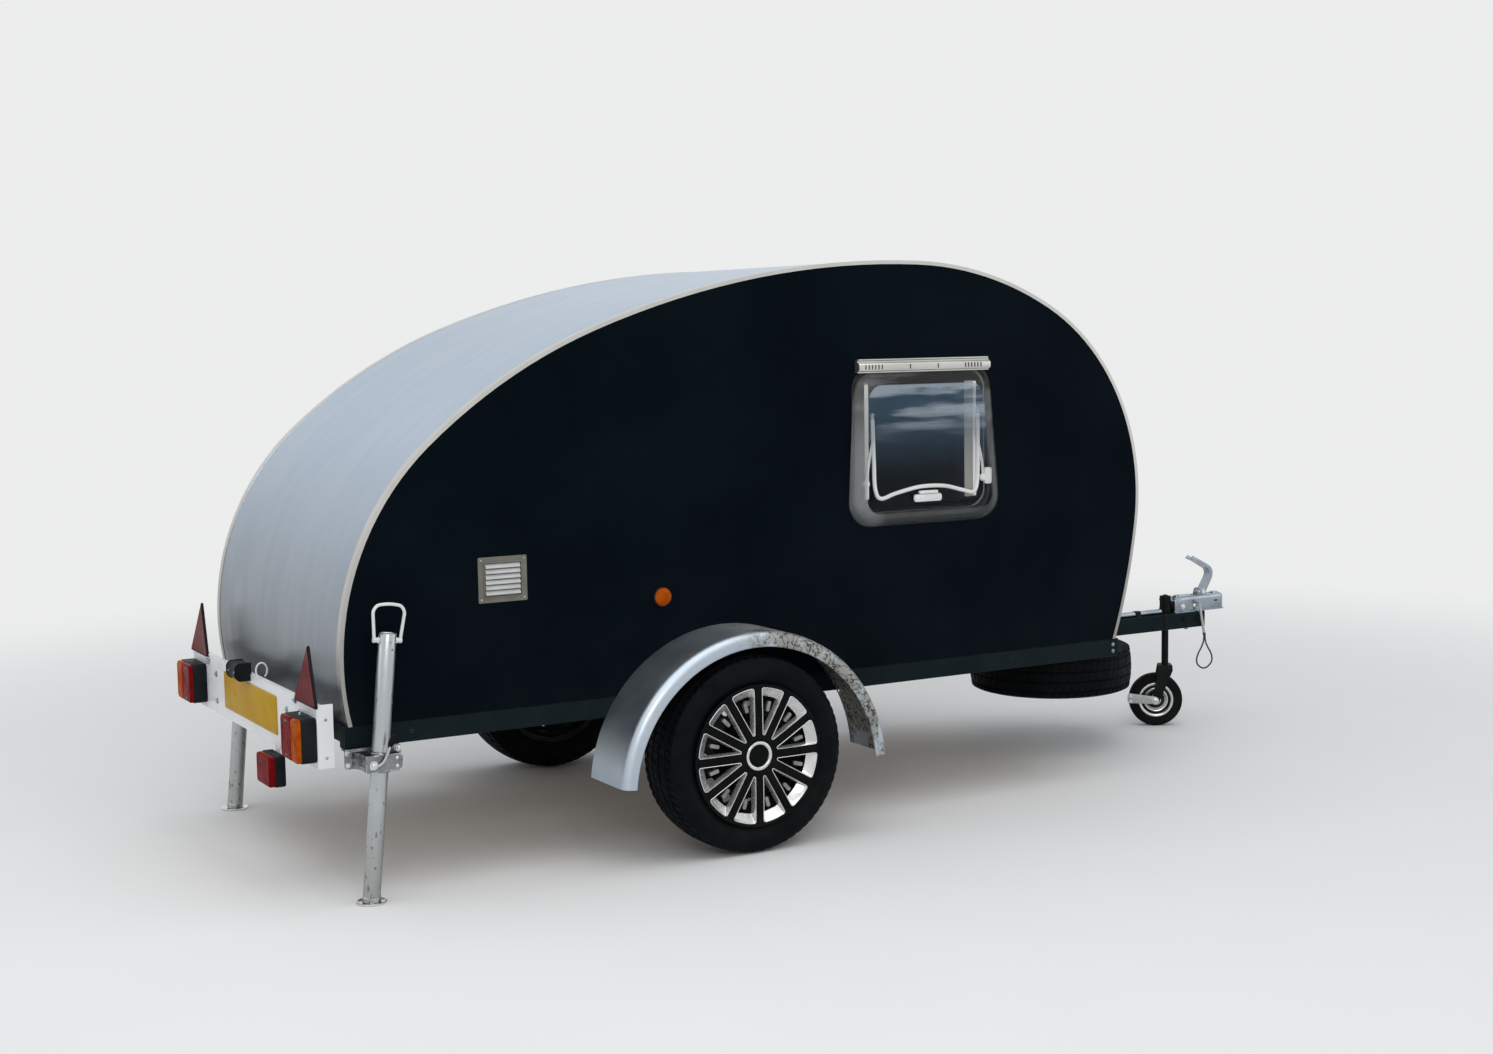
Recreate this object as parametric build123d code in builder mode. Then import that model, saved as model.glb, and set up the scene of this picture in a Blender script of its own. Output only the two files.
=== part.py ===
from build123d import *
import os
from math import cos, radians, sin, sqrt, tan

os.makedirs("parts", exist_ok=True)

# Teardrop trailer in millimetres: +X forward to the hitch, +Y left, floor at z = 0.
# The origin is on the floor, midway along the trailer and between its wheels.

# Body shell
half_width = 587
wall = 20
rail_top = 474
body_rear_x = -1777
body_rear_heading = 105.6
body_rear_dip = 41
body_foot_angle = 14.1
trim_thickness = 1.5
trim_side_leg = 10
trim_roof_leg = 25
# The side profile, clockwise from below the rear foot: radius and turn of each arc
tail_curve = 781
rear_curve = 1662
back_curve = 2898
crown_curve = 1149
nose_curve = 718
front_curve = 2028
profile_arcs = [
    (tail_curve, 64.0),
    (rear_curve, 20.7),
    (back_curve, 22.7),
    (crown_curve, 26.8),
    (nose_curve, 69.2),
    (front_curve, 12.9),
]

# Chassis
rail_height = 60
rail_width = 40
rail_length = 2697
rail_corner = 4
rail_rear_x = body_rear_x - 13
rail_front_x = rail_rear_x + rail_length
cross_height = 44
cross_width = 40
drawbar_half = 40
drawbar_height = 60
drawbar_length = 2223
drawbar_corner = 5
drawbar_rear_x = rail_rear_x + 1370
drawbar_front_x = drawbar_rear_x + drawbar_length
cross_positions = [
    rail_rear_x + cross_width / 2,
    rail_rear_x + 640,
    rail_rear_x + 1590,
    rail_rear_x + 2170,
    rail_front_x - cross_width / 2,
]
# The band below the rail's top that is cut off every piece made from the outline
cut_span = 2 * rail_length
cut_depth = rail_top
board_arm_y = 350
board_arm_height = 30
board_arm_thickness = 6

# Road wheels: 15 inch rims with low tyres
axle_x = rail_rear_x + 1174
tyre_radius = 292
tyre_width = 185
bead_radius = 190
track_half = half_width + 110.5
rim_wall = 4
flange_radius = 200
rim_half = 80
seat_inset = 9
vent_hole_count = 12
vent_hole_circle = 148
vent_hole_radius = 13
disc_thickness = 5
hub_radius = 62
hub_length = 62
stub_radius = 15
stub_clearance = 0.3
stub_overhang = 10
trim_radius = 210
trim_windows = 12
spoke_half = 8
window_outer_radius = 190
window_tip_radius = 11

# Torsion axle with trailing arms
beam_size = 60
beam_corner = 8
beam_lead = 150
beam_inset = 34
seat_length = 150
seat_width = 60
seat_thickness = 8
arm_thickness = 25
arm_pivot_radius = 33
arm_stub_radius = 28

# Mudguards
guard_x = axle_x + 4
guard_z = 207
guard_radius = 448
guard_width = 208
guard_bend = 25
guard_skirt = 45
guard_sheet = 2
guard_start_angle = 5
guard_sweep = 170

# Rear prop stands
stand_y = half_width + 58
stand_foot_x = rail_rear_x + 40
stand_lean = 5.5
stand_radius = 24
stand_top_z = 730
foot_radius = 42
foot_thickness = 6
bore_gap = 0.4
clamp_half_length = 80
clamp_block_half = 48
clamp_height = 48
clamp_plate = 6
clamp_flange = 30
clamp_flare = 16
clamp_root = 26
clamp_cheek = 10
bail_rod = 4.5
bail_rise = 80
bail_half = 52
bail_boss_drop = 20
bail_boss_radius = 8
bail_boss_length = 17

# Rear light board
board_x = rail_rear_x - 82
board_half = half_width + 23
board_bottom_z = 374
board_height = 173
board_sheet = 3
board_return = 45
lamp_width = 145
lamp_height = 122
lamp_z = 451
lamp_inset = 4
lamp_corner = 12
lens_inset = 2
housing_depth = 36
lens_depth = 20
fog_width = 125
fog_height = 88
fog_y = -258
fog_z = 315
fog_depth = 30
fog_lens_depth = 18
plate_width = 520
plate_height = 111
plate_z = 463
plate_thickness = 3
plate_lamp_y = 60
plate_lamp_z = 530
plate_lamp_width = 100
plate_lamp_depth = 54
plate_lamp_height = 48
board_lip = 14
fog_tab = 40
reflector_side = 188
reflector_y = board_half - 85
reflector_base_z = 537
reflector_thickness = 6

# Side window and door
window_x = rail_rear_x + 1900
window_bottom_z = 950
window_width = 490
window_height = 440
window_corner = 60
pane_overlap = 28
pane_bulge = 50
pane_bulge_top = 22
pane_side_angle = 87.4
pane_round = 17
pane_wall = 3
frame_gap = 0.3
frame_flange = 18
frame_sheet = 3
rail_section = 30
door_x = rail_rear_x + 1880
door_width = 620
door_bottom_z = 520
door_height = 900
door_corner = 90
door_gap = 5
door_overlap = 12
door_skin = 2
hinge_radius = 7
hinge_length = 70
hinge_pin = 3
door_window_width = 360
door_window_height = 330
door_window_z = 1190
door_window_corner = 50
door_pane_overlap = 25
door_pane_bulge = 36
door_pane_round = 26
lock_width = 70
lock_height = 110

# Small fittings on the sides
vent_x = rail_rear_x + 472
vent_z = 842
vent_width = 147
vent_height = 128
side_lamp_x = rail_rear_x + 973
side_lamp_z = 752
side_lamp_radius = 30
side_lamp_base = 8
side_lamp_dome = 10
vent_slots = 6
vent_pitch = 14.5

# Mattress
mattress_length = 1880
mattress_height = 90
mattress_corner = 40
mattress_round = 18
mattress_gap = 14
mattress_front_x = rail_front_x - 47

# Coupling, jockey wheel and spare wheel
coupling_rear_x = drawbar_front_x - 190
coupling_half = drawbar_half - 8
coupling_height = 56
coupling_lip = 4
socket_depth = 22
ball_x = drawbar_front_x + 83
ball_radius = 25.25
head_radius = coupling_half
lever_x = ball_x - 74
lever_half = 16
lever_sheet = 3
lever_depth = 13
lever_eye = 12
jockey_x = coupling_rear_x + 27
jockey_stem_radius = 13
jockey_block = 32
jockey_block_height = 66
castor_post_radius = 8
jockey_radius = 100
jockey_width = 46
jockey_trail = 35
jockey_turn = 35
jockey_cheek = 4
jockey_bar_height = 38
jockey_bar_length = 116
spare_x = rail_front_x + 181
spare_width = 165
spare_gap = 0.5

wheel_z = tyre_radius
rail_bottom = rail_top - rail_height
drawbar_top = rail_top - cross_height
drawbar_bottom = drawbar_top - drawbar_height
beam_x = axle_x + beam_lead
beam_z = rail_bottom - seat_thickness - beam_size / 2
seat_lip = flange_radius - bead_radius + 1
sides = [(-1, "right"), (1, "left")]


# A plane parallel to the body's side, reach away from the middle. Amount side * d goes inwards.
def side_plane(side, reach):
    return Plane.XZ.offset(-side * reach)


# Axial distance outwards along local x, radius along local y
def wheel_plane(x, y, z, side):
    return Plane(origin=(x, y, z), x_dir=(0, side, 0), z_dir=(side, 0, 0))


# Start, middle and end of each arc of the side profile, moved inwards by inset
def profile_points(inset):
    heading = body_rear_heading
    x = body_rear_x + body_rear_dip * tan(radians(body_foot_angle))
    z = rail_top - body_rear_dip
    rows = []
    for radius, turn in profile_arcs:
        centre_x = x + radius * sin(radians(heading))
        centre_z = z - radius * cos(radians(heading))
        reach = radius - inset
        row = []
        for share in (0, 0.5, 1):
            angle = radians(heading + 90 - turn * share)
            row.append((centre_x + reach * cos(angle), centre_z + reach * sin(angle)))
        rows.append(row)
        heading -= turn
        x = centre_x + radius * cos(radians(heading + 90))
        z = centre_z + radius * sin(radians(heading + 90))
    return rows


# The whole outline, closed below the body's foot
def profile_line(inset):
    rows = profile_points(inset)
    for start, middle, end in rows:
        ThreePointArc(start, middle, end)
    Line(rows[-1][2], rows[0][0])


def write(part, name):
    part.label = name
    export_step(part, f"parts/{name}.step")


# Tyre section: bead seats between the flanges, bulged sidewalls and a slightly rounded tread
def tyre_section(radius, width, bead, seat_half, lip):
    half = width / 2
    depth = radius - bead
    shoulder_x = half * 0.86
    shoulder_y = radius - depth * 0.07
    bulge_y = bead + depth * 0.52
    Line((-seat_half, bead), (seat_half, bead))
    Line((seat_half, bead), (seat_half, bead + lip))
    ThreePointArc((seat_half, bead + lip), (half, bulge_y), (shoulder_x, shoulder_y))
    ThreePointArc((shoulder_x, shoulder_y), (0, radius), (-shoulder_x, shoulder_y))
    ThreePointArc((-shoulder_x, shoulder_y), (-half, bulge_y), (-seat_half, bead + lip))
    Line((-seat_half, bead + lip), (-seat_half, bead))


# Steel wheel: dropped barrel with two flanges and a dished disc
def rim_section():
    inner = bead_radius - rim_wall
    Polyline(
        (-rim_half, flange_radius),
        (-rim_half + rim_wall, flange_radius),
        (-rim_half + 8.5, bead_radius - 0.3),
        (-30, bead_radius - 0.3),
        (-22, bead_radius - 14),
        (22, bead_radius - 14),
        (30, bead_radius - 0.3),
        (rim_half - 8.5, bead_radius - 0.3),
        (rim_half - rim_wall, flange_radius),
        (rim_half, flange_radius),
        (rim_half - 4, inner - 1),
        (28, inner - 1),
        (24, inner - 14),
        (18 + disc_thickness, inner - 20),
        (42, 118),
        (20, 88),
        (20, 32),
        (20 - disc_thickness, 32),
        (20 - disc_thickness, 90),
        (36, 122),
        (18, inner - 24),
        (12, inner - 14),
        (-24, inner - 14),
        (-32, inner - 1),
        (-rim_half + 4, inner - 1),
        close=True,
    )


# Side panels, each one board with its window or door cut
for side, hand in sides:
    with BuildPart() as side_panel:
        with BuildSketch(side_plane(side, half_width)):
            with BuildLine():
                profile_line(0)
            make_face()
            with Locations((0, rail_top - cut_depth / 2)):
                Rectangle(cut_span, cut_depth, mode=Mode.SUBTRACT)
            if hand == "right":
                with Locations((window_x, window_bottom_z + window_height / 2)):
                    RectangleRounded(window_width, window_height, window_corner, mode=Mode.SUBTRACT)
            else:
                with Locations((door_x, door_bottom_z + door_height / 2)):
                    RectangleRounded(door_width, door_height, door_corner, mode=Mode.SUBTRACT)
        extrude(amount=side * wall)
    write(side_panel.part, f"side_panel_{hand}")

# Roof, front and rear in one bent sandwich between the side panels
with BuildPart() as roof_shell:
    with BuildSketch(Plane.XZ):
        with BuildLine():
            profile_line(0)
        make_face()
        with BuildLine():
            profile_line(wall)
        make_face(mode=Mode.SUBTRACT)
        with Locations((0, rail_top - cut_depth / 2)):
            Rectangle(cut_span, cut_depth, mode=Mode.SUBTRACT)
    extrude(amount=half_width - wall, both=True)
write(roof_shell.part, "roof_shell")

with BuildPart() as floor_panel:
    with BuildSketch(Plane.XZ):
        with BuildLine():
            profile_line(wall)
        make_face()
        with Locations((0, rail_top + wall / 2)):
            Rectangle(cut_span, wall, mode=Mode.INTERSECT)
    extrude(amount=half_width - wall, both=True)
write(floor_panel.part, "floor_panel")

# Angle trim over the joint of roof and side
with BuildPart() as edge_trims:
    for side, hand in sides:
        with BuildSketch(side_plane(side, half_width + trim_thickness)):
            with BuildLine():
                profile_line(-trim_thickness)
            make_face()
            with BuildLine():
                profile_line(0)
            make_face(mode=Mode.SUBTRACT)
            with Locations((0, rail_top - cut_depth / 2)):
                Rectangle(cut_span, cut_depth, mode=Mode.SUBTRACT)
        extrude(amount=side * (trim_roof_leg + trim_thickness))
        with BuildSketch(side_plane(side, half_width)):
            with BuildLine():
                profile_line(-trim_thickness)
            make_face()
            with BuildLine():
                profile_line(trim_side_leg)
            make_face(mode=Mode.SUBTRACT)
            with Locations((0, rail_top - cut_depth / 2)):
                Rectangle(cut_span, cut_depth, mode=Mode.SUBTRACT)
        extrude(amount=-side * trim_thickness)
write(edge_trims.part, "edge_trims")

# Chassis: box rails under the sides, cross members and a central drawbar
with BuildPart() as chassis_rails:
    for side, hand in sides:
        middle = ((rail_rear_x + rail_front_x) / 2, side * (half_width - rail_width / 2))
        with BuildSketch(Plane.XY.offset(rail_bottom)):
            with Locations(middle):
                Rectangle(rail_length, rail_width)
        extrude(amount=rail_height)
    fillet(chassis_rails.edges().filter_by(Axis.X), rail_corner)
write(chassis_rails.part, "chassis_rails")

with BuildPart() as cross_members:
    with BuildSketch(Plane.XY.offset(drawbar_top)):
        with Locations([(x, 0) for x in cross_positions]):
            Rectangle(cross_width, 2 * (half_width - rail_width))
    extrude(amount=cross_height)
    with BuildSketch(Plane.XY.offset(drawbar_top)):
        for arm_side in (-1, 1):
            with Locations(((rail_rear_x + board_x + board_sheet) / 2, arm_side * board_arm_y)):
                Rectangle(rail_rear_x - board_x - board_sheet, board_arm_thickness)
    extrude(amount=board_arm_height)
write(cross_members.part, "cross_members")

with BuildPart() as drawbar:
    with BuildSketch(Plane.XY.offset(drawbar_bottom)):
        with Locations(((drawbar_rear_x + drawbar_front_x) / 2, 0)):
            Rectangle(drawbar_length, 2 * drawbar_half)
    extrude(amount=drawbar_height)
    fillet(drawbar.edges().filter_by(Axis.X), drawbar_corner)
    with BuildSketch(Plane.XY.offset(drawbar_bottom)):
        with Locations((jockey_x, 0)):
            Circle(jockey_stem_radius + 2)
    extrude(amount=drawbar_height, mode=Mode.SUBTRACT)
write(drawbar.part, "drawbar")

# Torsion axle: square beam on two seats under the rails
with BuildPart() as axle_beam:
    with BuildSketch(Plane.XZ.offset(-(half_width - beam_inset))):
        with Locations((beam_x, beam_z)):
            RectangleRounded(beam_size, beam_size, beam_corner)
    extrude(amount=2 * (half_width - beam_inset))
    for side, hand in sides:
        with BuildSketch(Plane.XY.offset(rail_bottom - seat_thickness)):
            with Locations((beam_x, side * (half_width - beam_inset - seat_width / 2))):
                Rectangle(seat_length, seat_width)
        extrude(amount=seat_thickness)
write(axle_beam.part, "axle_beam")

for side, hand in sides:
    arm_face = half_width - beam_inset
    wheel_y = side * track_half
    with BuildPart() as swing_arm:
        with BuildSketch(side_plane(side, arm_face)):
            with BuildLine():
                Polyline(
                    (beam_x, beam_z + arm_pivot_radius),
                    (axle_x, wheel_z + arm_stub_radius),
                    (axle_x, wheel_z - arm_stub_radius),
                    (beam_x, beam_z - arm_pivot_radius),
                    close=True,
                )
            make_face()
            with Locations((beam_x, beam_z)):
                Circle(arm_pivot_radius)
            with Locations((axle_x, wheel_z)):
                Circle(arm_stub_radius)
        extrude(amount=-side * arm_thickness)
        with BuildSketch(side_plane(side, arm_face + arm_thickness)):
            with Locations((axle_x, wheel_z)):
                Circle(stub_radius)
        extrude(amount=-side * (track_half - arm_face - arm_thickness + stub_overhang))
    write(swing_arm.part, f"swing_arm_{hand}")

    axle_line = Axis((axle_x, wheel_y, wheel_z), (0, 1, 0))
    with BuildPart() as tyre:
        with BuildSketch(wheel_plane(axle_x, wheel_y, wheel_z, side)):
            with BuildLine():
                tyre_section(tyre_radius, tyre_width, bead_radius, rim_half - seat_inset, seat_lip)
            make_face()
        revolve(axis=axle_line)
    write(tyre.part, f"tyre_{hand}")

    with BuildPart() as rim:
        with BuildSketch(wheel_plane(axle_x, wheel_y, wheel_z, side)):
            with BuildLine():
                rim_section()
            make_face()
        revolve(axis=axle_line)
        with BuildSketch(side_plane(side, track_half - rim_half)):
            with Locations((axle_x, wheel_z)):
                with PolarLocations(vent_hole_circle, vent_hole_count):
                    Circle(vent_hole_radius)
        extrude(amount=-side * 2 * rim_half, mode=Mode.SUBTRACT)
    write(rim.part, f"rim_{hand}")

    with BuildPart() as hub:
        with BuildSketch(wheel_plane(axle_x, wheel_y, wheel_z, side)):
            with BuildLine():
                Polyline(
                    (15 - hub_length, stub_radius + stub_clearance),
                    (15 - hub_length, 38),
                    (3, 40),
                    (3, hub_radius),
                    (15, hub_radius),
                    (15, 31.5),
                    (34, 28),
                    (34, 0),
                    (stub_overhang + stub_clearance, 0),
                    (stub_overhang + stub_clearance, stub_radius + stub_clearance),
                    close=True,
                )
            make_face()
        revolve(axis=axle_line)
    write(hub.part, f"hub_{hand}")

    # Wheel trim with twelve straight spokes and wedge windows between them
    with BuildPart() as wheel_trim:
        with BuildSketch(wheel_plane(axle_x, wheel_y, wheel_z, side)):
            with BuildLine():
                Polyline(
                    (rim_half + 8, trim_radius),
                    (rim_half + 14, trim_radius - 8),
                    (rim_half + 17, 60),
                    (rim_half + 13, 42),
                    (rim_half + 13, 0),
                    (rim_half + 9, 0),
                    (rim_half + 9, 44),
                    (rim_half + 13, 62),
                    (rim_half + 10, 194),
                    (rim_half + 0.3, 194),
                    (rim_half + 0.3, 198),
                    close=True,
                )
            make_face()
        revolve(axis=axle_line)
        with BuildSketch(side_plane(side, track_half + rim_half - 5)):
            with Locations((axle_x, wheel_z)):
                with PolarLocations(0, trim_windows, start_angle=180 / trim_windows):
                    with BuildSketch(mode=Mode.PRIVATE) as wedge:
                        half_turn = radians(180 / trim_windows)
                        root = spoke_half / sin(half_turn)
                        with BuildLine():
                            Polyline(
                                (root, 0),
                                (window_outer_radius, (window_outer_radius - root) * tan(half_turn)),
                                (window_outer_radius, -(window_outer_radius - root) * tan(half_turn)),
                                close=True,
                            )
                        make_face()
                        fillet(wedge.vertices().sort_by(Axis.X)[0], window_tip_radius)
                        fillet(wedge.vertices().group_by(Axis.X)[-1], 5)
                    add(wedge.sketch)
        extrude(amount=-side * 30, mode=Mode.SUBTRACT)
    write(wheel_trim.part, f"wheel_trim_{hand}")

    # Mudguard: bent sheet with a rounded outer edge, its inner edge on the body's side
    guard_centre = (guard_x, side * half_width, guard_z)
    start = radians(guard_start_angle)
    guard_normal = Vector(0, side, 0).cross(Vector(cos(start), 0, sin(start)))
    guard_plane = Plane(origin=guard_centre, x_dir=(0, side, 0), z_dir=guard_normal)
    with BuildPart() as mudguard:
        with BuildSketch(guard_plane):
            with BuildLine():
                outer = FilletPolyline(
                    (0, guard_radius),
                    (guard_width, guard_radius),
                    (guard_width, guard_radius - guard_skirt),
                    radius=guard_bend,
                )
                Line(outer @ 1, (guard_width - guard_sheet, guard_radius - guard_skirt))
                inner = FilletPolyline(
                    (guard_width - guard_sheet, guard_radius - guard_skirt),
                    (guard_width - guard_sheet, guard_radius - guard_sheet),
                    (0, guard_radius - guard_sheet),
                    radius=guard_bend - guard_sheet,
                )
                Line(inner @ 1, outer @ 0)
            make_face()
        revolve(axis=Axis(guard_centre, (0, -1, 0)), revolution_arc=guard_sweep)
    write(mudguard.part, f"mudguard_{hand}")

# Rear prop stands: a leaning tube in a clamp below each rail, on a level foot
lean = radians(stand_lean)
stand_direction = Vector(sin(lean), 0, cos(lean))
clamp_z = rail_bottom - clamp_plate - clamp_height / 2
clamp_x = stand_foot_x + clamp_z * tan(lean)
stand_top_x = stand_foot_x + stand_top_z * tan(lean)
for side, hand in sides:
    tube_line = Plane(origin=(stand_foot_x, side * stand_y, 0), z_dir=stand_direction)
    with BuildPart() as stand_clamp:
        with BuildSketch(Plane.XY.offset(rail_bottom - clamp_plate)):
            with Locations((clamp_x, side * (half_width - clamp_flange / 2))):
                Rectangle(2 * clamp_half_length, clamp_flange)
        extrude(amount=clamp_plate)
        with BuildSketch(side_plane(side, half_width)):
            with Locations((clamp_x, rail_bottom - (clamp_plate + clamp_height) / 2)):
                RectangleRounded(2 * clamp_half_length, clamp_plate + clamp_height, 6)
        extrude(amount=side * clamp_plate)
        with BuildSketch(Plane.XY.offset(clamp_z - clamp_height / 2)):
            with BuildLine():
                Polyline(
                    (clamp_x - clamp_block_half - clamp_flare, side * half_width),
                    (clamp_x - clamp_block_half, side * (half_width + clamp_root)),
                    (clamp_x - clamp_block_half, side * (stand_y + stand_radius + clamp_cheek)),
                    (clamp_x + clamp_block_half, side * (stand_y + stand_radius + clamp_cheek)),
                    (clamp_x + clamp_block_half, side * (half_width + clamp_root)),
                    (clamp_x + clamp_block_half + clamp_flare, side * half_width),
                    close=True,
                )
            make_face()
        extrude(amount=clamp_height)
        with BuildSketch(tube_line):
            Circle(stand_radius + bore_gap)
        extrude(amount=stand_top_z, mode=Mode.SUBTRACT)
    write(stand_clamp.part, f"stand_clamp_{hand}")

    with BuildPart() as stand_leg:
        with BuildSketch(tube_line.offset(-20)):
            Circle(stand_radius)
        extrude(amount=20 + stand_top_z / cos(lean))
        split(bisect_by=Plane.XY.offset(foot_thickness), keep=Keep.TOP)
        with BuildSketch(Plane.XY):
            with Locations((stand_foot_x, side * stand_y)):
                Circle(foot_radius)
        extrude(amount=foot_thickness)
    write(stand_leg.part, f"stand_leg_{hand}")

    # Bail handle: two bosses on the tube and a bent rod over its top
    top_plane = Plane(
        origin=(stand_top_x, side * stand_y, stand_top_z),
        x_dir=(cos(lean), 0, -sin(lean)),
        z_dir=(0, -1, 0),
    )
    boss_reach = stand_radius + bail_boss_length - bail_rod
    with BuildPart() as stand_handle:
        with BuildLine(top_plane) as bail:
            FilletPolyline(
                (-boss_reach, -bail_boss_drop),
                (-bail_half, bail_rise - 14),
                (12 - bail_half, bail_rise),
                (bail_half - 12, bail_rise),
                (bail_half, bail_rise - 14),
                (boss_reach, -bail_boss_drop),
                radius=8,
            )
        with BuildSketch(Plane(origin=bail.line @ 0, z_dir=bail.line % 0)):
            Circle(bail_rod)
        sweep()
        for reach in (-1, 1):
            with BuildSketch(
                Plane(
                    origin=top_plane.from_local_coords((reach * stand_radius, -bail_boss_drop, 0)),
                    z_dir=top_plane.x_dir * reach,
                )
            ):
                Circle(bail_boss_radius)
            extrude(amount=bail_boss_length)
        with BuildSketch(tube_line):
            Circle(stand_radius + 0.1)
        extrude(amount=stand_top_z / cos(lean), mode=Mode.SUBTRACT)
    write(stand_handle.part, f"stand_handle_{hand}")

# Light board: folded sheet with returned ends, and the lamps it carries
board_mid_z = board_bottom_z + board_height / 2
with BuildPart() as light_board:
    with BuildSketch(Plane.YZ.offset(board_x)):
        with Locations((0, board_mid_z)):
            Rectangle(2 * board_half, board_height)
    extrude(amount=board_sheet)
    for side in (-1, 1):
        with BuildSketch(side_plane(side, board_half)):
            with Locations((board_x + board_return / 2, board_mid_z)):
                Rectangle(board_return, board_height)
        extrude(amount=side * board_sheet)
    with BuildSketch(Plane.XY.offset(board_bottom_z + board_height)):
        with Locations((board_x + board_lip / 2, 0)):
            Rectangle(board_lip, 2 * board_half)
    extrude(amount=-board_sheet)
    with BuildSketch(Plane.YZ.offset(board_x)):
        with Locations((fog_y + 10, (board_bottom_z + fog_z) / 2)):
            Rectangle(fog_tab, board_bottom_z - fog_z)
    extrude(amount=board_sheet)
write(light_board.part, "light_board")

lamp_y = board_half - lamp_inset - lamp_width / 2
with BuildPart() as lamp_housings:
    for side in (-1, 1):
        with BuildSketch(Plane.YZ.offset(board_x)):
            with Locations((side * lamp_y, lamp_z)):
                RectangleRounded(lamp_width, lamp_height, lamp_corner)
        extrude(amount=-housing_depth)
    with BuildSketch(Plane.YZ.offset(board_x)):
        with Locations((fog_y, fog_z)):
            RectangleRounded(fog_width, fog_height, lamp_corner - 2)
    extrude(amount=-fog_depth)
    with BuildSketch(Plane.XZ.offset(-plate_lamp_y)):
        with BuildLine():
            Polyline(
                (board_x, plate_lamp_z),
                (board_x - plate_lamp_depth + 14, plate_lamp_z),
                (board_x - plate_lamp_depth, plate_lamp_z + 14),
                (board_x - plate_lamp_depth, plate_lamp_z + plate_lamp_height - 14),
                (board_x - plate_lamp_depth + 12, plate_lamp_z + plate_lamp_height),
                (board_x, plate_lamp_z + plate_lamp_height),
                close=True,
            )
        make_face()
    extrude(amount=plate_lamp_width / 2, both=True)
write(lamp_housings.part, "lamp_housings")

with BuildPart() as lamp_lenses:
    for side in (-1, 1):
        with BuildSketch(Plane.YZ.offset(board_x - housing_depth)):
            with Locations((side * lamp_y, lamp_z)):
                RectangleRounded(lamp_width - 2 * lens_inset, lamp_height - 2 * lens_inset, lamp_corner - 1)
        extrude(amount=-lens_depth)
    with BuildSketch(Plane.YZ.offset(board_x - fog_depth)):
        with Locations((fog_y, fog_z)):
            RectangleRounded(fog_width - 2 * lens_inset, fog_height - 2 * lens_inset, lamp_corner - 3)
    extrude(amount=-fog_lens_depth)
    fillet(lamp_lenses.faces().filter_by(Axis.X).group_by(Axis.X)[0].edges(), 5)
    for side, hand in sides:
        with BuildSketch(side_plane(side, half_width)):
            with Locations((side_lamp_x, side_lamp_z)):
                Circle(side_lamp_radius)
        extrude(amount=-side * side_lamp_base)
        with BuildSketch(side_plane(side, half_width + side_lamp_base)):
            with Locations((side_lamp_x, side_lamp_z)):
                Circle(side_lamp_radius - 5)
        extrude(amount=-side * side_lamp_dome, taper=22)
write(lamp_lenses.part, "lamp_lenses")

with BuildPart() as number_plate:
    with BuildSketch(Plane.YZ.offset(board_x)):
        with Locations((0, plate_z)):
            RectangleRounded(plate_width, plate_height, 6)
    extrude(amount=-plate_thickness)
write(number_plate.part, "number_plate")

with BuildPart() as reflectors:
    for side in (-1, 1):
        with BuildSketch(Plane.YZ.offset(board_x)):
            with Locations((side * reflector_y, reflector_base_z + reflector_side / (2 * sqrt(3)))):
                RegularPolygon(reflector_side / sqrt(3), 3, rotation=90)
        extrude(amount=-reflector_thickness)
write(reflectors.part, "reflectors")

# Side window: flanged liner in the wall, a hinge rail and a bulged acrylic pane outside it
window_z = window_bottom_z + window_height / 2
with BuildPart() as window_frame:
    with BuildSketch(side_plane(-1, half_width)):
        with Locations((window_x, window_z)):
            RectangleRounded(
                window_width + 2 * frame_flange,
                window_height + 2 * frame_flange,
                window_corner + frame_flange,
            )
            RectangleRounded(
                window_width - 2 * frame_sheet - 2 * frame_gap,
                window_height - 2 * frame_sheet - 2 * frame_gap,
                window_corner - frame_sheet,
                mode=Mode.SUBTRACT,
            )
    extrude(amount=frame_sheet)
    with BuildSketch(side_plane(-1, half_width)):
        with Locations((window_x, window_z)):
            RectangleRounded(window_width - 2 * frame_gap, window_height - 2 * frame_gap, window_corner)
            RectangleRounded(
                window_width - 2 * frame_sheet - 2 * frame_gap,
                window_height - 2 * frame_sheet - 2 * frame_gap,
                window_corner - frame_sheet,
                mode=Mode.SUBTRACT,
            )
    extrude(amount=-(wall + 6))
    with BuildSketch(side_plane(-1, half_width)):
        with Locations((window_x, window_bottom_z + window_height + frame_flange + rail_section / 2)):
            Rectangle(window_width, rail_section)
    extrude(amount=rail_section)
    fillet(window_frame.edges().filter_by(Axis.X).group_by(Axis.Y)[0], 8)
write(window_frame.part, "window_frame")

pane_bottom_z = window_bottom_z - pane_overlap
pane_height = window_height + pane_overlap
pane_y = -(half_width + frame_sheet + frame_gap)
pane_lean = (pane_bulge - pane_bulge_top) / pane_height
with BuildPart() as window_pane:
    with BuildSketch(side_plane(-1, -pane_y)) as pane_outline:
        with Locations((window_x, pane_bottom_z + pane_height / 2)):
            Trapezoid(window_width + 2 * pane_overlap, pane_height, pane_side_angle)
        fillet(pane_outline.vertices(), window_corner + 15)
    extrude(amount=pane_bulge)
    split(
        bisect_by=Plane(origin=(window_x, pane_y - pane_bulge, pane_bottom_z), z_dir=(0, 1, pane_lean)),
        keep=Keep.TOP,
    )
    outer_face = window_pane.faces().sort_by(Axis.Y)[0]
    fillet(outer_face.edges(), pane_round)
    back_face = window_pane.faces().sort_by(Axis.Y)[-1]
    offset(amount=-pane_wall, openings=back_face)
write(window_pane.part, "window_pane")

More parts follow.
